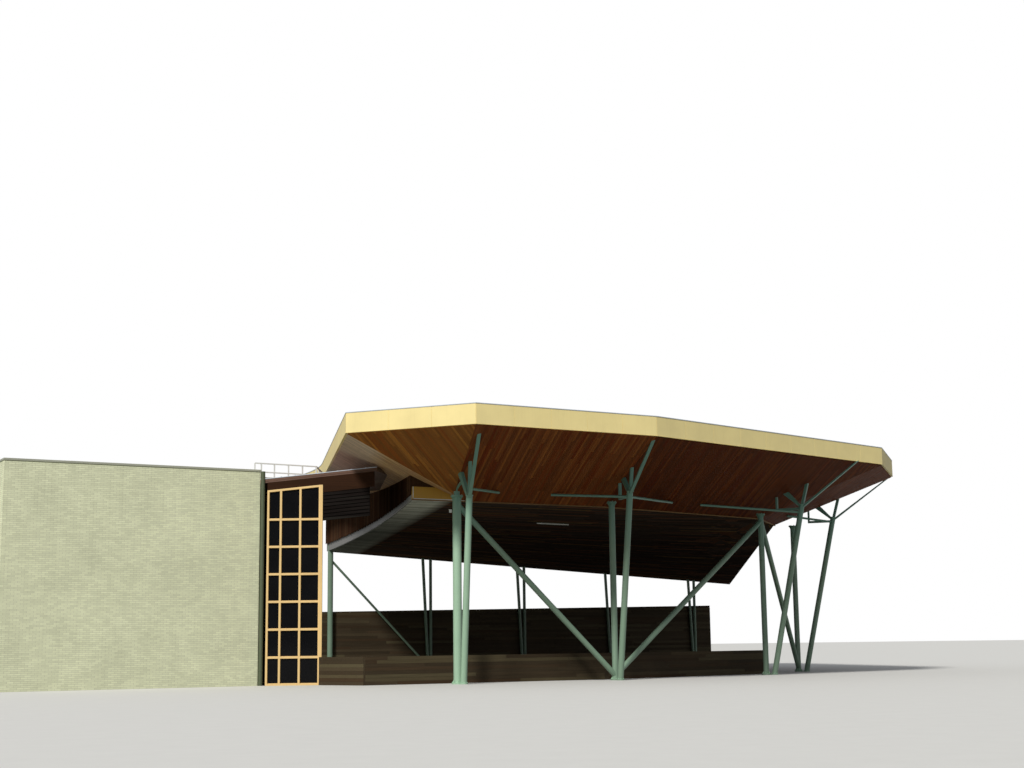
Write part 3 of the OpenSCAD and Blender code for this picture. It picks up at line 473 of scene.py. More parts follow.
class Finish:
    """Material with the nodes that the finishes here share."""

    def __init__(self, name, base, roughness, metallic=0.0):
        self.material = bpy.data.materials.new(name)
        self.material.use_nodes = True
        self.tree = self.material.node_tree
        self.shader = self.tree.nodes["Principled BSDF"]
        self.base = tuple(base) + (1.0,)
        self.shader.inputs["Base Color"].default_value = self.base
        self.shader.inputs["Roughness"].default_value = roughness
        self.shader.inputs["Metallic"].default_value = metallic
        self.colour = None

    def add(self, kind, **values):
        """New node. A value goes to its property of that name, or else to the input."""
        node = self.tree.nodes.new(kind)
        for name, value in values.items():
            if hasattr(node, name):
                setattr(node, name, value)
            else:
                node.inputs[name.replace("_", " ")].default_value = value
        return node

    def join(self, output, socket):
        self.tree.links.new(output, socket)

    def coordinates(self, stretch=(1, 1, 1), turn=0.0):
        """Object coordinates turned about the vertical, so that grain follows the boards."""
        source = self.add("ShaderNodeTexCoord")
        turned = self.add("ShaderNodeMapping", Rotation=(0, 0, math.radians(-turn)))
        scaled = self.add("ShaderNodeMapping", Scale=stretch)
        self.join(source.outputs["Object"], turned.inputs["Vector"])
        self.join(turned.outputs["Vector"], scaled.inputs["Vector"])
        return scaled.outputs["Vector"]

    def parts_of(self, vector):
        """X, Y and Z of a vector."""
        apart = self.add("ShaderNodeSeparateXYZ")
        self.join(vector, apart.inputs["Vector"])
        return apart.outputs

    def along(self, axis):
        """Place along the object's X, Y or Z."""
        return self.parts_of(self.add("ShaderNodeTexCoord").outputs["Object"])[axis]

    def past_line(self, lean):
        """Distance along X past a line through the origin that leans by this share of Y."""
        lean_at = self.math("MULTIPLY", self.along("Y"), lean)
        return self.math("SUBTRACT", self.along("X"), lean_at)

    def noise(self, scale, detail=4.0, rough=0.55, stretch=(1, 1, 1), turn=0.0):
        """Noise through the object, stretched and turned with its coordinates."""
        node = self.add("ShaderNodeTexNoise", Scale=scale, Detail=detail, Roughness=rough)
        self.join(self.coordinates(stretch, turn), node.inputs["Vector"])
        return node.outputs["Fac"]

    def per_board(self):
        """Random value of each board, from 0 to 1."""
        return self.add("ShaderNodeNewGeometry").outputs["Random Per Island"]

    def redrawn(self, value, factor):
        """Another random value from 0 to 1, made from one that is there."""
        return self.math("FRACT", self.math("MULTIPLY", value, factor), 0.0)

    def math(self, kind, a, b):
        """Result of a sum whose terms are numbers or outputs."""
        node = self.add("ShaderNodeMath", operation=kind)
        for socket, value in zip(node.inputs, (a, b)):
            if isinstance(value, (int, float)):
                socket.default_value = value
            else:
                self.join(value, socket)
        return node.outputs["Value"]

    def limits(self, value, low, high, to_low=0.0, to_high=1.0):
        """Value carried over from one range to another."""
        node = self.add("ShaderNodeMapRange",
            From_Min=low, From_Max=high, To_Min=to_low, To_Max=to_high)
        self.join(value, node.inputs["Value"])
        return node.outputs["Result"]

    def seen_directly(self):
        """1 on a ray from the camera, a mirror or glass, and 0 on one that only carries light."""
        ray = self.add("ShaderNodeLightPath").outputs
        mirrored = self.math("MAXIMUM", ray["Is Glossy Ray"], ray["Is Transmission Ray"])
        return self.math("MAXIMUM", ray["Is Camera Ray"], mirrored)

    def tint(self, factor, shade):
        """Blends a shade over the colour so far, by a factor."""
        node = self.add("ShaderNodeMix", data_type="RGBA", blend_type="MIX")
        self.join(factor, node.inputs["Factor"])
        node.inputs[MIX_A].default_value = self.base
        if self.colour is not None:
            self.join(self.colour, node.inputs[MIX_A])
        node.inputs[MIX_B].default_value = tuple(shade) + (1.0,)
        self.colour = node.outputs[MIX_RESULT]

    def brightness(self, value):
        """Multiplies the colour so far by a value that varies over the surface."""
        node = self.add("ShaderNodeHueSaturation", Color=self.base)
        if self.colour is not None:
            self.join(self.colour, node.inputs["Color"])
        self.join(value, node.inputs["Value"])
        self.colour = node.outputs["Color"]

    def vary(self, value, low, high, darkest, lightest):
        """Brightness between two ends as a value goes from low to high."""
        self.brightness(self.limits(value, low, high, darkest, lightest))

    def bump(self, height, distance, strength=0.6):
        node = self.add("ShaderNodeBump", Strength=strength, Distance=distance)
        self.join(height, node.inputs["Height"])
        self.join(node.outputs["Normal"], self.shader.inputs["Normal"])

    def rough(self, value, low, high):
        """Roughness between two ends as a noise goes up."""
        self.join(self.limits(value, 0.3, 0.7, low, high), self.shader.inputs["Roughness"])

    def done(self):
        """The material, with the colour so far as its own."""
        if self.colour is not None:
            self.join(self.colour, self.shader.inputs["Base Color"])
        return self.material


def timber(name, base, turn=0.0, upright=False, spread=0.55, red=0.35, roughness=0.62, gloss=0.06,
        painted_light=None):
    """Boards: each board has its own tone, and the grain runs along it.

    Painted light: given a shade, a lean and two distances, the boards take that shade where they
    are nearer than far past a line (see past_line), as a pale glow of light reflected up next to
    the fascia.
    """
    f = Finish(name, base, roughness)
    f.shader.inputs["Specular IOR Level"].default_value = gloss
    stretch = (GRAIN_ALONG, GRAIN_ACROSS, GRAIN_ACROSS)
    grain = f.noise(1.0, 6.0, 0.62, stretch[::-1] if upright else stretch, turn)
    board = f.per_board()
    reddish, golden = shaded(base, 0.88, 0.55, 0.42), shaded(base, 1.25, 1.42, 1.30)
    f.tint(f.limits(f.redrawn(board, 7.31), 0.55, 1.0, 0.0, red * 2), reddish)
    f.tint(f.limits(board, 0.7, 1.0, 0.0, 0.8), golden)
    # Painted light: a paler shade near the fascia
    if painted_light:
        shade, lean, near, far = painted_light
        f.tint(f.limits(f.past_line(lean), near, far, 0.85, 0.0), shade)
    f.vary(board, 0.0, 1.0, 1.0 - spread / 2, 1.0 + spread / 2)
    f.vary(grain, 0.25, 0.75, 0.78, 1.2)
    f.vary(f.noise(0.8, 3.0, 0.5), 0.3, 0.7, 0.9, 1.08)
    f.rough(grain, roughness - 0.08, roughness + 0.12)
    f.bump(grain, real(3), 0.5)
    return f.done()


def ceiling_timber(name, dark, pale):
    """Dark boards of the low ceiling, paler towards its left front: partly paler boards, partly
    painted light where daylight reaches in. The pale strip darkens further back as painted shade.
    """
    f = Finish(name, dark, 0.62)
    f.shader.inputs["Specular IOR Level"].default_value = 0.0
    grain = f.noise(1.0, 5.0, 0.6, (1.6, 40, 40))
    board = f.per_board()
    f.tint(f.limits(f.redrawn(board, 7.31), 0.6, 1.0, 0.0, 0.8), shaded(dark, 2.6, 1.5, 1.0))
    f.tint(f.limits(f.redrawn(board, 3.77), 0.93, 0.99, 0.0, 0.5), (0.30, 0.19, 0.07))
    # Painted light, partly paler boards: a soft pale strip along the left front
    strip_lean, half_blend = 0.2476, real(350)
    strip = f.limits(f.past_line(strip_lean), -half_blend, half_blend, 1.0, 0.0)
    f.tint(strip, pale)
    # Painted shade: the pale strip darkens towards its far end, deeper under the roof, and the dark
    # boards less so
    dirt_and_shade = f.limits(f.along("Y"), real(3500), real(14000), 0.0, 0.7)
    share = f.limits(strip, 0.0, 1.0, 0.35, 1.0)
    f.brightness(f.math("SUBTRACT", 1.0, f.math("MULTIPLY", dirt_and_shade, share)))
    f.vary(board, 0.0, 1.0, 0.75, 1.3)
    f.vary(grain, 0.25, 0.75, 0.8, 1.2)
    f.bump(grain, real(3), 0.5)
    return f.done()


def paint(name, base, roughness=0.4, dirt_and_shade=(0.25, 0.22, 0.16), dirty=0.12, metallic=0.0, fine=60.0,
        painted_shade=None):
    """Painted surface with faint clouding, run-down dirt and a fine orange-peel texture.

    Painted shade: given a shade and two heights, the paint turns to that shade between them, as the
    shade high up under the canopy.
    """
    f = Finish(name, base, roughness, metallic)
    cloud = f.noise(1.7, 5.0, 0.6)
    f.vary(cloud, 0.25, 0.75, 0.93, 1.05)
    streak = f.noise(1.0, 4.0, 0.6, (26, 26, 1.3))
    f.tint(f.limits(streak, 0.52, 0.85, 0.0, dirty), dirt_and_shade)
    # Painted shade, darker up towards the canopy
    if painted_shade:
        shade, low, high = painted_shade
        f.tint(f.limits(f.along("Z"), low, high, 0.0, 0.8), shade)
    f.rough(cloud, roughness - 0.06, roughness + 0.08)
    f.bump(f.noise(fine, 3.0, 0.5), real(1.2), 0.25)
    return f.done()


def roofing(name, base):
    """Mineral felt or gravel: grainy, with lighter worn patches."""
    f = Finish(name, base, 0.85)
    grit = f.noise(300.0, 2.0, 0.7)
    f.vary(f.noise(0.7, 6.0, 0.6), 0.3, 0.7, 0.8, 1.25)
    f.vary(grit, 0.3, 0.7, 0.82, 1.18)
    f.bump(grit, real(3), 0.6)
    return f.done()


def brickwork(name, base, mortar, turn=0.0):
    """Courses of bricks at their real size on an upright wall."""
    f = Finish(name, base, 0.8)
    at = f.parts_of(f.coordinates(turn=turn))
    flat = f.add("ShaderNodeCombineXYZ")
    f.join(at["X"], flat.inputs["X"])
    f.join(at["Z"], flat.inputs["Y"])
    bricks = f.add("ShaderNodeTexBrick", offset=0.5, Scale=1.0, Bias=0.0,
        Brick_Width=sizes().brick_length, Row_Height=sizes().brick_height,
        Mortar_Size=real(5), Mortar_Smooth=0.2, Mortar=tuple(mortar) + (1.0,),
        Color1=shaded(base, 0.92) + (1.0,), Color2=shaded(base, 1.08) + (1.0,))
    f.join(flat.outputs["Vector"], bricks.inputs["Vector"])
    f.colour = bricks.outputs["Color"]
    f.vary(f.noise(1.1, 5.0, 0.6), 0.3, 0.7, 0.9, 1.06)
    streak = f.noise(1.0, 4.0, 0.6, (9, 9, 0.6))
    f.tint(f.limits(streak, 0.5, 0.9, 0.0, 0.16), (0.3, 0.3, 0.2))
    grain = f.math("MULTIPLY", f.noise(120.0, 3.0, 0.6), 0.25)
    f.bump(f.math("SUBTRACT", grain, bricks.outputs["Fac"]), real(6), 0.8)
    return f.done()


def window_glass(name):
    """Smoked glass: it darkens what stands behind it and mirrors the sky."""
    f = Finish(name, (0.005, 0.005, 0.006), 0.04)
    f.shader.inputs["IOR"].default_value = 1.5
    f.shader.inputs["Specular IOR Level"].default_value = 0.1
    cloud = f.noise(2.0, 3.0, 0.5)
    f.vary(cloud, 0.3, 0.7, 0.8, 1.2)
    f.join(f.limits(cloud, 0.3, 0.7, 0.9, 0.94), f.shader.inputs["Alpha"])
    f.bump(cloud, real(2), 0.1)
    return f.done()


def coat(node, material):
    """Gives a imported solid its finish."""
    mesh = NODES[node].data
    mesh.materials.clear()
    mesh.materials.append(material)


# The pieces, from the roof down

class BANDSTAND_OT_fascia(bpy.types.Operator):
    """Cream panels on the fascia, with open joints and a drip edge at the foot"""

    bl_idname = "bandstand.fascia"
    bl_label = "Fascia panels"

    def execute(self, context):
        cream = paint("cream_panels", colours().fascia, 0.5, dirt_and_shade=(0.42, 0.34, 0.18), dirty=0.10,
            fine=90.0)
        for part in ("left", "corner", "front", "wing", "far_corner", "right", "rear"):
            coat("fascia_" + part, cream)
            panels = Stock()
            for outline, normal in outward_sides("fascia_" + part):
                self.face_side(panels, outline, normal)
            panels.finish("panels_" + part, cream, "fascia", bevel=real(2))
        return {"FINISHED"}

    def face_side(self, panels, outline, normal):
        """Panels along one straight side, and the drip edge under them."""
        s = sizes()
        foot_gap, head_gap, shortest = real(14), real(6), real(300)
        drip_deep, drip_high = real(20), real(10)
        run = UP.cross(normal).normalized()
        ends = [p.dot(run) for p in outline]
        long = max(ends) - min(ends)
        if long < shortest:
            return
        low, high = min(p.z for p in outline), max(p.z for p in outline)
        foot = outline[0] + run * (min(ends) - outline[0].dot(run))
        foot.z = low
        count = max(1, round(long / s.panel_length))
        for k in range(count):
            corner = foot + run * (long * k / count + s.panel_joint / 2) + UP * foot_gap
            panels.block(corner, run * (long / count - s.panel_joint), normal * s.panel_thick,
                UP * (high - low - foot_gap - head_gap))
        panels.block(foot, run * long, normal * drip_deep, UP * drip_high)


class BANDSTAND_OT_roof(bpy.types.Operator):
    """Metal cap, felt with lapped seams and an upstand round the roof deck"""

    bl_idname = "bandstand.roof"
    bl_label = "Roof covering"

    def execute(self, context):
        c = colours()
        metal = paint("cap_metal", c.flashing, 0.35, dirt_and_shade=(0.3, 0.32, 0.34), dirty=0.15,
            metallic=0.35)
        felt = roofing("roof_felt", c.roofing)
        coat("fascia_cap", metal)
        coat("roof_deck", felt)
        sheet_width, lap_width, lap_thick = real(1000), real(90), real(6)
        seams = Stock()
        for outline, normal in flat_sides("roof_deck", lambda n, at: n.z > 0.9):
            lay_ribs(seams, outline, normal, heading(0), sheet_width, lap_width, lap_thick)
            for i, b in enumerate(outline):
                self.turn_up(seams, outline[i - 1], b)
        seams.finish("felt_seams", felt, "roofing")
        return {"FINISHED"}

    def turn_up(self, seams, a, b):
        """Upstand of the felt along one edge of the deck, with a fillet at its foot."""
        upstand, thick, fillet, shortest = real(150), real(8), real(60), real(50)
        if (b - a).length < shortest:
            return
        inward = UP.cross((b - a).normalized())
        if inward.dot(ROOF_MIDDLE - (a + b) / 2) < 0:
            inward = -inward
        seams.block(a, b - a, inward * thick, UP * upstand)
        wedge = [a, a + inward * fillet, a + UP * fillet]
        seams.prism(wedge, [p + (b - a) for p in wedge])


class BANDSTAND_OT_soffit(bpy.types.Operator):
    """Boards of every soffit facet, laid in the direction of the real ones"""

    bl_idname = "bandstand.soffit"
    bl_label = "Soffit boards"

    def execute(self, context):
        s, c = sizes(), colours()
        # Each facet's heading and colour of boards, spread of their tones, and share of red ones
        # The corner boards are a lighter and the wing boards a darker copy of one timber: painted
        # light and painted shade
        layout = (
            ("corner", 40.5, c.corner_boards, 0.5, 0.3),
            ("front", 74.5, c.front_boards, 0.6, 0.5),
            ("wing", 74.5, c.wing_boards, 0.6, 0.5),
            ("far_corner", 74.5, c.wing_boards, 0.6, 0.5),
            ("right", 160.0, c.wing_boards, 0.6, 0.5),
            ("rear", 90.0, c.wing_boards, 0.6, 0.5),
            # Painted light: the left side's greyer, paler tan
            ("left", 18.5, c.side_boards, 0.3, 0.1),
        )
        fascia_lean = 0.36
        # Painted light: the left side's boards turn paler next to the fascia, for light reflected
        # up onto them
        painted_light = (c.side_reflected_light, fascia_lean, real(-3900), real(-3100))
        for index, (part, turn, base, spread, red) in enumerate(layout):
            finish = timber(part + "_boards", base, turn, spread=spread, red=red,
                painted_light=painted_light if part == "left" else None)
            coat("soffit_" + part, finish)
            boards = Stock()
            for outline, normal in underside("soffit_" + part):
                lay_boards(boards, outline, normal, heading(turn), s.board_width, s.board_thick,
                    draws(index))
            boards.finish("boards_" + part, finish, "soffit_timber")
        # The curved end takes the left side's greyer tan, painted light too
        self.curved_part(timber("left_rear_boards", c.side_boards, spread=0.3, red=0.1))
        return {"FINISHED"}

    def curved_part(self, finish):
        """Boards from the fascia to the cladding on the curved end of the left side."""
        s = sizes()
        coat("soffit_left_rear", finish)
        mesh = NODES["soffit_left_rear"].data
        points = {}
        for face in mesh.polygons:
            if face.normal.z < -0.5:
                for i in face.vertices:
                    p = mesh.vertices[i].co
                    points[key_of(p)] = p.copy()
        rims = sorted(points.values(), key=lambda p: p.y)
        low, high = min(p.z for p in rims), max(p.z for p in rims)
        # The outer rim lies in the top part of the facet's height
        outer_share = 0.15
        middle = high - (high - low) * outer_share
        outer, inner = [p for p in rims if p.z > middle], [p for p in rims if p.z <= middle]
        boards = Stock()
        for a, b, d, e in zip(outer, outer[1:], inner, inner[1:]):
            for start, end in shares_of(a, b, s.board_width):
                near = [a.lerp(b, start), a.lerp(b, end), d.lerp(e, end), d.lerp(e, start)]
                boards.prism(near, [p + DOWN * s.board_thick for p in near])
        boards.finish("boards_left_rear", finish, "soffit_timber")


class BANDSTAND_OT_low_ceiling(bpy.types.Operator):
    """Boards on the warped low ceiling, its pale batten and its painted edge bands"""

    bl_idname = "bandstand.low_ceiling"
    bl_label = "Low ceiling"

    def execute(self, context):
        s, c = sizes(), colours()
        finish = ceiling_timber("ceiling_boards", c.ceiling_dark, c.ceiling_pale)
        coat("low_ceiling", finish)
        mesh = NODES["low_ceiling"].data
        rim = outlines_of(mesh, [face for face in mesh.polygons if face.normal.z < -0.5])[0]
        flat = [(p.x, p.y) for p in rim]
        tree = tree_of("low_ceiling")
        middle = sum((Vector((x, y, 0)) for x, y in flat), Vector()) / len(flat)

        def on_ceiling(p):
            """Point of the ceiling over a plan point, found a little further in at the rim."""
            at = Vector((p[0], p[1], 0))
            for pull in (0.0, 0.0005, 0.003, 0.01):
                hit = tree.ray_cast(at.lerp(middle, pull), UP)[0]
                if hit is not None:
                    return at + UP * hit.z
            raise RuntimeError("a ceiling board lies outside the low ceiling")

        boards = Stock()
        for board in cut_boards(flat, s.ceiling_board_width, s.board_length * 0.6,
                draws(CEILING_DRAWS), even=True):
            back = [on_ceiling(p) for p in board]
            boards.prism(back, [p + DOWN * s.board_thick for p in back])
        boards.finish("boards_low_ceiling", finish, "dark_timber")
        coat("ceiling_trim", timber("pale_batten", c.batten, spread=0.2, red=0.0))
        coat("edge_band_front",
            paint("band_paint", c.band, 0.45, dirt_and_shade=(0.2, 0.13, 0.03), dirty=0.2))
        coat("edge_band_left", paint("band_grey_paint", shaded(c.ceiling_pale, 0.25), 0.5))
        self.band_rim(paint("white_rim", c.white_paint, 0.4))
        return {"FINISHED"}

    def band_rim(self, white):
        """White rim along the foot and the left end of the front band."""
        wide, proud = real(35), real(17.5)
        low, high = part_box("edge_band_front")
        corner = low - Vector((0, proud, 0))
        rim = Stock()
        for along, up in ((high.x - low.x, wide), (wide, high.z - low.z)):
            rim.block(corner, Vector((along, 0, 0)), Vector((0, proud, 0)), UP * up)
        rim.finish("band_rim", white, "white_steel")


class BANDSTAND_OT_cladding(bpy.types.Operator):
    """Upright boards with a toothed foot over the curved left edge, and the closures behind"""

    bl_idname = "bandstand.cladding"
    bl_label = "Edge cladding"

    def execute(self, context):
        s, c = sizes(), colours()
        finish = timber("edge_cladding", c.cladding, upright=True, spread=0.7, red=0.4, gloss=0.0)
        for node in ("drum_left", "drum_right", "drum_rear"):
            coat(node, finish)
        rng = draws(CLADDING_DRAWS)
        boards = Stock()
        self.toothed_part(boards, rng)
        # The straight closures at the right and the rear take upright boards in one length
        unbroken = real(40000)
        for node, out in (("drum_right", heading(0)), ("drum_rear", heading(90))):
            for outline, normal in flat_sides(node, lambda n, at: n.dot(out) > 0.5):
                lay_boards(boards, outline, normal, UP, s.cladding_board_width, s.board_thick,
                    rng, unbroken)
        boards.finish("boards_cladding", finish, "dark_timber")
        return {"FINISHED"}

    def toothed_part(self, boards, rng):
        """Boards on the curved left side, each ending a step lower or higher than the last."""
        s = sizes()
        steps = (0.0, 0.45, 0.9, 0.45)
        outer = self.outer_line()
        index = 0
        for (ya, xa, foot_a, head_a), (yb, xb, foot_b, head_b) in zip(outer, outer[1:]):
            a, b = Vector((xa, ya, 0)), Vector((xb, yb, 0))
            out = (b - a).normalized().cross(UP)
            if out.x > 0:
                out = -out
            for start, end in shares_of(a, b, s.cladding_board_width):
                drop = s.tooth * (steps[index % len(steps)] + rng.uniform(0, 0.25))
                near = [a.lerp(b, share) for share in (start, end, end, start)]
                for p, share in zip(near[:2], (start, end)):
                    p.z = foot_a + (foot_b - foot_a) * share - drop
                for p, share in zip(near[2:], (end, start)):
                    p.z = head_a + (head_b - head_a) * share
                boards.prism(near, [p + out * s.board_thick for p in near])
                index += 1

    def outer_line(self):
        """Stations along Y on the outside of the curved cladding, as (y, x, foot, head)."""
        heights = {}
        for v in NODES["drum_left"].data.vertices:
            heights.setdefault((round(v.co.y, 3), round(v.co.x, 3)), []).append(v.co.z)
        outer = []
        for (y, x), z in sorted(heights.items()):
            station = (y, x, min(z), max(z))
            if not outer or abs(outer[-1][0] - y) >= 1e-3:
                outer.append(station)
            elif x < outer[-1][1]:
                outer[-1] = station
        return outer


# Raking posts on the building: foot and head from the upright's axis, and the head's height
RAKES = (
    ((80, -350), (-440, -1910), 7538),
    ((-20, -410), (-460, -2130), 7979),
    ((200, -365), (977, -1949), 8040),
    ((270, -310), (1300, -1730), 7962),
)
# Thickness of the base and cap plates
BASE_PLATE = real(60)


def upright_of(index):
    """Foot, plate radius and cap height of an upright post, read from its solid."""
    node = f"front_post_{index}"
    low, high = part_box(node)
    foot = Vector(((low.x + high.x) / 2, (low.y + high.y) / 2, 0))
    radius = (high.x - low.x) / 2
    near_rim = radius * 0.97
    rims = [v.co.z for v in NODES[node].data.vertices if (v.co.xy - foot.xy).length > near_rim]
    return foot, radius, max(rims)


class BANDSTAND_OT_steelwork(bpy.types.Operator):
    """Green paint, flanges, stiffeners and bolts of the posts, tree heads and braces"""

    bl_idname = "bandstand.steelwork"
    bl_label = "Steelwork"

    def execute(self, context):
        c = colours()
        # Painted shade: the posts' paint darkens upward into the shade under the canopy
        painted_shade = (c.steel_in_shade, real(5500), real(8300))
        dirt_and_shade, dirty = (0.12, 0.14, 0.1), 0.18
        # Painted light and shade: the first post, in the sun, takes the palest green, and the other
        # front posts, their heads and the braces a darker copy for the trees' shade; the rear row
        # is darker still
        green = paint("green_paint", c.steel, 0.38, dirt_and_shade, dirty, painted_shade=painted_shade)
        shaded_green = paint("shaded_green_paint", shaded(c.steel, 0.62), 0.38, dirt_and_shade, dirty, painted_shade=painted_shade)
        dark = paint("rear_green_paint", shaded(c.steel, 0.48), 0.4, dirt_and_shade=(0.1, 0.1, 0.08),
            dirty=0.2)
        worn = paint("worn_rim_paint", tuple(min(1.0, v * 1.5 + 0.1) for v in c.steel), 0.4)
        fittings, rims = Stock(), Stock()
        for k, rake in enumerate(RAKES, 1):
            coat(f"front_post_{k}", green if k == 1 else shaded_green)
            coat(f"tree_head_{k}", green if k == 1 else shaded_green)
            foot, plate_radius, cap = upright_of(k)
            self.upright_fittings(fittings, foot, plate_radius, cap)
            self.raking_fittings(fittings, rims, foot, *rake)
        for k in range(1, 4):
            coat(f"brace_{k}", shaded_green)
        for k in range(1, 6):
            coat(f"rear_post_{k}", dark)
        coat("rear_brace", dark)
        fittings.finish("post_fittings", green, "green_steel", smooth=True)
        rims.finish("head_rims", worn, "green_steel", smooth=True)
        return {"FINISHED"}

    def upright_fittings(self, stock, foot, plate_radius, cap):
        """Bolts and stiffeners at the base plate and under the cap plate."""
        margin, sunk, thick, reach, tall = real(80), real(4), real(8), real(62), real(130)
        ribs, first_rib, first_bolt = 8, 22, 0.4
        tube = plate_radius - margin
        bolt_ring = plate_radius - margin * 0.45
        for height, bolts in ((BASE_PLATE, 8), (cap, 6)):
            stock.bolts_round(foot + UP * height, UP, bolt_ring, bolts, sizes().bolt_width,
                first_bolt)
        for height, sign in ((BASE_PLATE, 1), (cap - BASE_PLATE, -1)):
            for k in range(ribs):
                spoke = heading(360 / ribs * k + first_rib)
                start = foot + spoke * (tube - sunk) + UP * height
                side = spoke.cross(UP) * thick / 2
                corner = [start, start + spoke * reach, start + UP * sign * tall]
                stock.prism([p - side for p in corner], [p + side for p in corner])

    def raking_fittings(self, stock, rims, post, low, high, top):
        """Flange with a worn rim near the head of a raking post, and bolts round its foot."""
        foot = post + place(low[0], low[1], 0)
        head = post + place(high[0], high[1], top)
        axis = (head - foot).normalized()
        flange, bolt_ring = real(159), real(152)
        half_thick, rim_thick = axis * real(14), axis * real(4)
        stock.rod(head - half_thick, head + half_thick, flange, 32)
        rims.rod(head - half_thick - rim_thick, head - half_thick, flange, 32)
        away = (foot - post).normalized() * bolt_ring
        for turn in (-70, -25, 25, 70):
            at = foot + Matrix.Rotation(math.radians(turn), 3, "Z") @ away
            stock.bolt(at + UP * BASE_PLATE, UP, sizes().bolt_width * 0.85)


class BANDSTAND_OT_low_walls(bpy.types.Operator):
    """Boards on the parapets and on the timber wall at the rear"""

    bl_idname = "bandstand.low_walls"
    bl_label = "Low walls"

    def execute(self, context):
        s, c = sizes(), colours()
        wing_heading, board_thick, shortest = 14, real(16), real(900)
        tones = {"spread": 0.5, "red": 0.2, "roughness": 0.55}
        finish = timber("low_wall_boards", c.dark_timber, **tones)
        wing = timber("low_wall_wing_boards", c.dark_timber, wing_heading, **tones)
        nodes = ("parapet_return", "parapet_front", "parapet_wing", "rear_wall")
        for index, node in enumerate(nodes):
            material = wing if node == "parapet_wing" else finish
            coat(node, material)
            boards = Stock()
            rng = draws(WALL_DRAWS + index)
            for outline, normal in flat_sides(node, lambda n, at: abs(n.z) < 0.1):
                run = UP.cross(normal)
                spans = [p.dot(run) for p in outline]
                if max(spans) - min(spans) >= shortest:
                    lay_boards(boards, outline, normal, run, s.wall_board_width, board_thick, rng)
            boards.finish("boards_" + node, material, "dark_timber")
        return {"FINISHED"}


class BANDSTAND_OT_stage_house(bpy.types.Operator):
    """Brick walls, coping, flat roof and corner downpipe of the stage house"""

    bl_idname = "bandstand.stage_house"
    bl_label = "Stage house"

    def execute(self, context):
        c = colours()
        front = brickwork("brick_front", c.brick, c.mortar)
        side = brickwork("brick_side", c.brick, c.mortar, turn=90)
        for wall, finish in (("front", front), ("rear", front), ("left", side), ("right", side)):
            coat(f"house_{wall}_wall", finish)
        coat("house_roof", roofing("house_gravel", c.gravel))
        coat("house_coping", paint("coping_metal", c.coping, 0.45, metallic=0.2))
        green = paint("downpipe_paint", c.downpipe, 0.45)
        coat("corner_downpipe", green)
        self.pipe_collars(green)
        return {"FINISHED"}

    def pipe_collars(self, green):
        """Collars of the downpipe, each with a lug to the wall behind it."""
        first, spacing, tall, proud = real(600), real(1900), UP * real(45), real(7)
        lug_half, lug_deep, lug_sunk = real(20), real(14), real(10)
        low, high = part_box("corner_downpipe")
        centre = (low + high) / 2
        radius = (high.x - low.x) / 2
        collars = Stock()
        height = first
        while height < high.z:
            foot = Vector((centre.x, centre.y, height))
            collars.rod(foot, foot + tall, radius + proud, 24)
            collars.block(foot + Vector((-lug_half, radius - lug_sunk, 0)),
                Vector((2 * lug_half, 0, 0)), Vector((0, lug_deep, 0)), tall)
            height += spacing
        collars.finish("downpipe_collars", green, "green_steel", smooth=True)


# Headings of the glazed bay's front, its outward side, and the outward side of its flank
BAY_HEADING = -30
BAY_OUT = heading(-120)
FLANK_OUT = heading(-20)


class BANDSTAND_OT_glazed_bay(bpy.types.Operator):
    """Amber bars, panes, glazing beads, beam, rear wall and lapped boards of the glazed bay"""

    bl_idname = "bandstand.glazed_bay"
    bl_label = "Glazed bay"

    def execute(self, context):
        c = colours()
        amber = paint("amber_paint", c.bay_paint, 0.42, dirt_and_shade=(0.35, 0.2, 0.06), dirty=0.25)
        coat("bay_glass", window_glass("window_glass"))
        # Painted shade: the bay's rear wall and beam take the beam's dark brown, darkened for the
        # shade under the lean-to roof
        self.rear_wall(timber("bay_wall_boards", c.beam, spread=0.4, red=0.2))
        coat("bay_beam", timber("beam_timber", c.beam, BAY_HEADING, spread=0.3, red=0.3))
        # Painted shade: the lapped boards' near-black stands for the deep shade under the beam
        coat("lapped_boards",
            timber("lapped_timber", c.lapped, BAY_HEADING, spread=0.6, red=0.1, gloss=0.0))
        beads = Stock()
        for node, out in (("bay_front_frame", BAY_OUT), ("bay_side_frame", FLANK_OUT)):
            coat(node, amber)
            for hole, normal in flat_sides(node, lambda n, at: n.dot(out) > 0.9, holes=True):
                self.bead(beads, hole, -normal)
        beads.finish("glazing_beads", amber, "amber_timber")
        return {"FINISHED"}

    def rear_wall(self, finish):
        """Level boards on the outside of the bay's rear wall."""
        board_thick = real(16)
        coat("bay_back_wall", finish)
        boards = Stock()
        rng = draws(BAY_DRAWS)
        for outline, normal in flat_sides("bay_back_wall", lambda n, at: n.y > 0.5):
            lay_boards(boards, outline, normal, UP.cross(normal), sizes().wall_board_width,
                board_thick, rng)
        boards.finish("boards_bay_wall", finish, "dark_timber")

    def bead(self, stock, hole, inward):
        """Slim bead round a pane, against the glass at the back of the frame."""
        bar, wide, thick = real(85), real(9), real(22)
        middle = sum(hole, Vector()) / len(hole)
        for a, b in zip(hole, hole[1:] + hole[:1]):
            side = inward.cross(b - a).normalized()
            if side.dot(middle - a) < 0:
                side = -side
            near = [p + inward * (bar - thick) for p in (a, b, b + side * wide, a + side * wide)]
            stock.prism(near, [p + inward * thick for p in near])


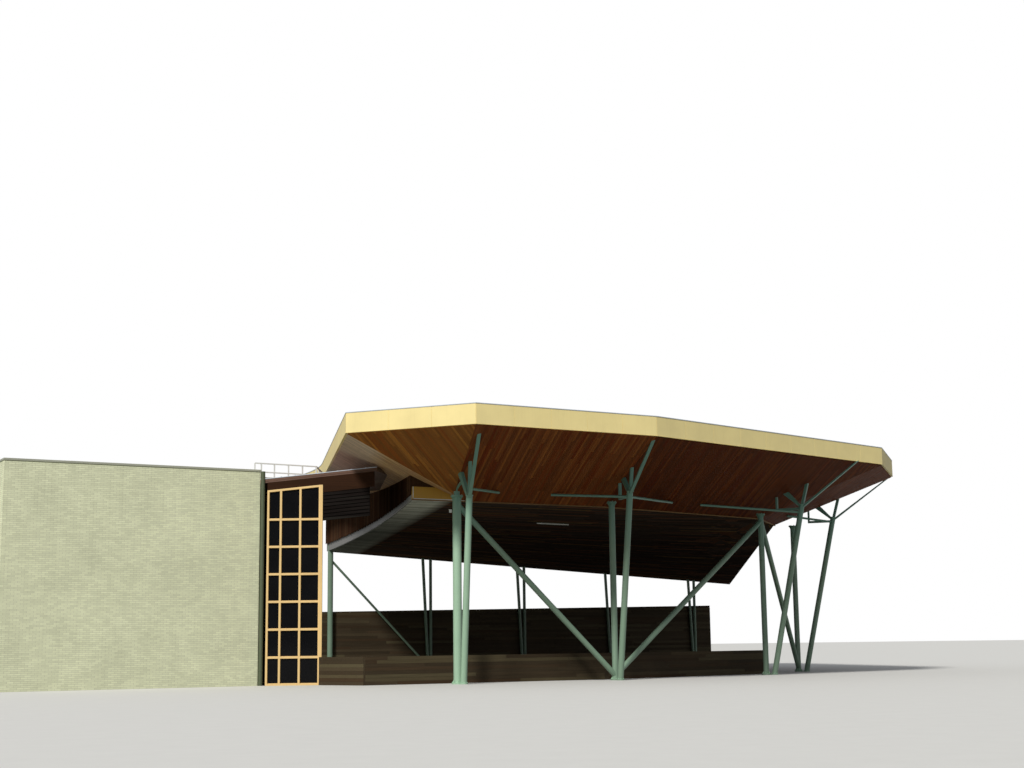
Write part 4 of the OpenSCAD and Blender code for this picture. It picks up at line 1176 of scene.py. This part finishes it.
class BANDSTAND_OT_lean_to(bpy.types.Operator):
    """Seamed sheet, edge boards and metal drip of the lean-to roof over the bay"""

    bl_idname = "bandstand.lean_to"
    bl_label = "Lean-to roof"

    def execute(self, context):
        c = colours()
        board = timber("lean_to_edge", c.lean_to, BAY_HEADING, spread=0.3, red=0.1)
        metal = paint("lean_to_metal", c.flashing, 0.4, dirt_and_shade=(0.3, 0.28, 0.24), dirty=0.3,
            metallic=0.3)
        coat("bay_roof", board)
        edges, sheet = Stock(), Stock()
        # Strips of the edge: foot and head as shares of its height, and how proud they stand
        strips = ((edges, 0.0, 0.28, 14), (edges, 0.34, 0.84, 24), (sheet, 0.86, 1.0, 34))
        for outline, normal in flat_sides("bay_roof",
                lambda n, at: abs(n.z) < 0.1 and n.dot(BAY_OUT) > 0.8):
            run = UP.cross(normal)
            outline.sort(key=lambda p: (round(p.dot(run), 2), p.z))
            low_a, high_a, low_b, high_b = outline[0], outline[1], outline[-2], outline[-1]
            for stock, foot, head, proud in strips:
                near = [low_a.lerp(high_a, foot), low_b.lerp(high_b, foot),
                    low_b.lerp(high_b, head), low_a.lerp(high_a, head)]
                stock.prism(near, [p + normal * real(proud) for p in near])
        sheet_width, seam_width, seam_height = real(600), real(25), real(28)
        for outline, normal in flat_sides("bay_roof", lambda n, at: n.z > 0.9):
            lay_ribs(sheet, outline, normal, -BAY_OUT, sheet_width, seam_width, seam_height)
        edges.finish("lean_to_boards", board, "dark_timber")
        sheet.finish("lean_to_sheet", metal, "flashing")
        return {"FINISHED"}


class BANDSTAND_OT_railing(bpy.types.Operator):
    """White railing on the lean-to roof, with bolted foot plates"""

    bl_idname = "bandstand.railing"
    bl_label = "Roof railing"

    def execute(self, context):
        white = paint("white_railing", colours().white_paint, 0.4, dirt_and_shade=(0.3, 0.25, 0.2),
            dirty=0.12)
        coat("roof_railing", white)
        plates = Stock()
        half, thick, widest_foot, bolt_out = real(60), real(22), real(90), 0.65
        for outline, _ in flat_sides("roof_railing", lambda n, at: n.z < -0.9):
            if reach_of(outline) > widest_foot:
                continue
            foot = sum(outline, Vector()) / len(outline)
            plates.block(foot + Vector((-half, -half, 0)), Vector((2 * half, 0, 0)),
                Vector((0, 2 * half, 0)), UP * thick)
            for x, y in ((-1, -1), (1, -1), (1, 1), (-1, 1)):
                corner = foot + Vector((x, y, 0)) * half * bolt_out + UP * thick
                plates.bolt(corner, UP, sizes().bolt_width * 0.5)
        plates.finish("railing_plates", white, "white_steel")
        return {"FINISHED"}


class BANDSTAND_OT_lamps(bpy.types.Operator):
    """Small floodlight on the first post and the slim lamp under the low ceiling"""

    bl_idname = "bandstand.lamps"
    bl_label = "Lamps"

    def execute(self, context):
        white = paint("lamp_paint", colours().white_paint, 0.35, dirt_and_shade=(0.4, 0.38, 0.32),
            dirty=0.1)
        lamps = Stock()
        out, post_radius, height = heading(150), real(180), 7060
        self.floodlight(lamps, place(0, 0, height) + out * post_radius, out)
        self.batten(lamps, place(7900, 6750, 0), heading(0), real(1750))
        lamps.finish("lamps", white, "white_steel", bevel=real(4))
        return {"FINISHED"}

    def floodlight(self, stock, root, out):
        """Box with a hood on a short stirrup, fixed to the side of a tube."""
        side, wide = out.cross(UP), real(150)
        high, deep, stirrup, hood = UP * real(120), out * real(110), out * real(30), UP * real(8)
        stock.block(root - side * wide * 0.15 - high * 0.1, side * wide * 0.3, stirrup, high * 0.2)
        near = root + stirrup - high / 2
        stock.block(near - side * wide / 2, side * wide, deep, high)
        stock.block(near - side * wide * 0.56 + high, side * wide * 1.12, deep * 1.25, hood)

    def batten(self, stock, start, along, length):
        """Slim lamp hung close under the low ceiling."""
        tree = tree_of("low_ceiling")
        a, b = (tree.ray_cast(p, UP)[0] for p in (start, start + along * length))
        drop, deep, hanger_radius = UP * real(40), DOWN * real(55), real(12)
        half_wide = along.cross(UP) * real(45)
        near = [p - drop for p in (a - half_wide, a + half_wide, b + half_wide, b - half_wide)]
        stock.prism(near, [p + deep for p in near])
        for share in (0.15, 0.85):
            hanger = a.lerp(b, share)
            stock.rod(hanger, hanger - drop, hanger_radius, 8)


# Where the photograph was taken from, how the camera was held, and what its lens took in
CAMERA_PLACE = place(-30314, -57208, 1550)
CAMERA_HEADING, CAMERA_PITCH, CAMERA_ROLL = 60, 9.498, 0.7
CAMERA_LENS, CAMERA_SENSOR = 54.84, 36

SUN_HEADING, SUN_HEIGHT, SUN_WIDTH, SUN_STRENGTH = -143, 40, 9, 3.0
SKY_STRENGTH = 0.36
FLOOR_WIDTH = 1600


class BANDSTAND_OT_studio(bpy.types.Operator):
    """Pale floor, soft sun, sky and the camera at the photograph's place"""

    bl_idname = "bandstand.studio"
    bl_label = "Studio"

    def execute(self, context):
        context.scene.view_settings.view_transform = "Standard"
        self.floor(context)
        self.sky(context.scene)
        self.sun(context.scene)
        self.camera(context.scene)
        return {"FINISHED"}

    def floor(self, context):
        """Floor that looks pale, but throws little light up."""
        f = Finish("studio_floor", (0.16, 0.17, 0.13), 0.9)
        f.tint(f.seen_directly(), (0.70, 0.70, 0.69))
        f.vary(f.noise(3.0, 4.0, 0.6), 0.3, 0.7, 0.985, 1.015)
        bpy.ops.mesh.primitive_plane_add(size=FLOOR_WIDTH)
        floor = context.object
        floor.name = "floor"
        floor.data.materials.append(f.done())
        floor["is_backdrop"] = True

    def sky(self, scene):
        """Plain sky light, and white where the camera looks past the floor."""
        world = bpy.data.worlds.new("studio_sky")
        scene.world = world
        world.use_nodes = True
        nodes, join = world.node_tree.nodes, world.node_tree.links.new
        light = nodes["Background"]
        light.inputs["Color"].default_value = (0.93, 0.96, 1.0, 1)
        light.inputs["Strength"].default_value = SKY_STRENGTH
        backdrop = nodes.new("ShaderNodeBackground")
        backdrop.inputs["Color"].default_value = (1, 1, 1, 1)
        path = nodes.new("ShaderNodeLightPath")
        either = nodes.new("ShaderNodeMath")
        either.operation = "MAXIMUM"
        join(path.outputs["Is Camera Ray"], either.inputs[0])
        join(path.outputs["Is Transmission Ray"], either.inputs[1])
        blend = nodes.new("ShaderNodeMixShader")
        join(either.outputs[0], blend.inputs["Fac"])
        join(light.outputs[0], blend.inputs[1])
        join(backdrop.outputs[0], blend.inputs[2])
        join(blend.outputs[0], nodes["World Output"].inputs["Surface"])

    def sun(self, scene):
        """Soft sun from behind the camera, on its left."""
        sun = bpy.data.lights.new("soft_sun", "SUN")
        sun.energy = SUN_STRENGTH
        sun.angle = math.radians(SUN_WIDTH)
        sun.color = (1.0, 0.97, 0.9)
        lamp = bpy.data.objects.new("soft_sun", sun)
        scene.collection.objects.link(lamp)
        height = math.radians(SUN_HEIGHT)
        towards = heading(SUN_HEADING) * math.cos(height) + UP * math.sin(height)
        lamp.rotation_mode = "QUATERNION"
        lamp.rotation_quaternion = towards.to_track_quat("Z", "Y")

    def camera(self, scene):
        """Camera that looks along its heading, pitched up and rolled a little."""
        data = bpy.data.cameras.new("camera")
        data.lens = CAMERA_LENS
        data.sensor_width = CAMERA_SENSOR
        data.clip_start = 0.1
        data.clip_end = 2000
        camera = bpy.data.objects.new("camera", data)
        scene.collection.objects.link(camera)
        pitch, roll = math.radians(CAMERA_PITCH), math.radians(CAMERA_ROLL)
        look = heading(CAMERA_HEADING) * math.cos(pitch) + UP * math.sin(pitch)
        right = look.cross(UP).normalized()
        top = right.cross(look)
        leaned_top = top * math.cos(roll) + right * math.sin(roll)
        leaned_right = right * math.cos(roll) - top * math.sin(roll)
        turn = Matrix((leaned_right, leaned_top, -look)).transposed()
        camera.matrix_world = Matrix.Translation(CAMERA_PLACE) @ turn.to_4x4()
        scene.camera = camera


PIECES = (
    BANDSTAND_OT_fascia,
    BANDSTAND_OT_roof,
    BANDSTAND_OT_soffit,
    BANDSTAND_OT_low_ceiling,
    BANDSTAND_OT_cladding,
    BANDSTAND_OT_steelwork,
    BANDSTAND_OT_low_walls,
    BANDSTAND_OT_stage_house,
    BANDSTAND_OT_glazed_bay,
    BANDSTAND_OT_lean_to,
    BANDSTAND_OT_railing,
    BANDSTAND_OT_lamps,
    BANDSTAND_OT_studio,
)


class BANDSTAND_PT_pieces(bpy.types.Panel):
    """Sizes, colours and pieces of the bandstand"""

    bl_idname = "BANDSTAND_PT_pieces"
    bl_label = "Bandstand"
    bl_space_type = "VIEW_3D"
    bl_region_type = "UI"
    bl_category = "Bandstand"

    def draw(self, context):
        settings = context.scene.bandstand
        column = self.layout.column()
        column.prop(settings, "seed")
        for group in (settings.sizes, settings.colours):
            for name in group.bl_rna.properties.keys():
                if name not in ("name", "rna_type"):
                    column.prop(group, name)
        for piece in PIECES:
            column.operator(piece.bl_idname)


CLASSES = (BandstandSizes, BandstandColours, BandstandSettings) + PIECES + (BANDSTAND_PT_pieces,)


def register():
    for kind in CLASSES:
        bpy.utils.register_class(kind)
    bpy.types.Scene.bandstand = PointerProperty(type=BandstandSettings)


def unregister():
    del bpy.types.Scene.bandstand
    for kind in reversed(CLASSES):
        bpy.utils.unregister_class(kind)


def main():
    register()
    for piece in PIECES:
        group, name = piece.bl_idname.split(".")
        getattr(getattr(bpy.ops, group), name)()
    boxes = {"cad": CAD_BOX, "visual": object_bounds()}
    {name: [list(low), list(high)] for name, (low, high) in boxes.items()}


if __name__ == "__main__":
    main()
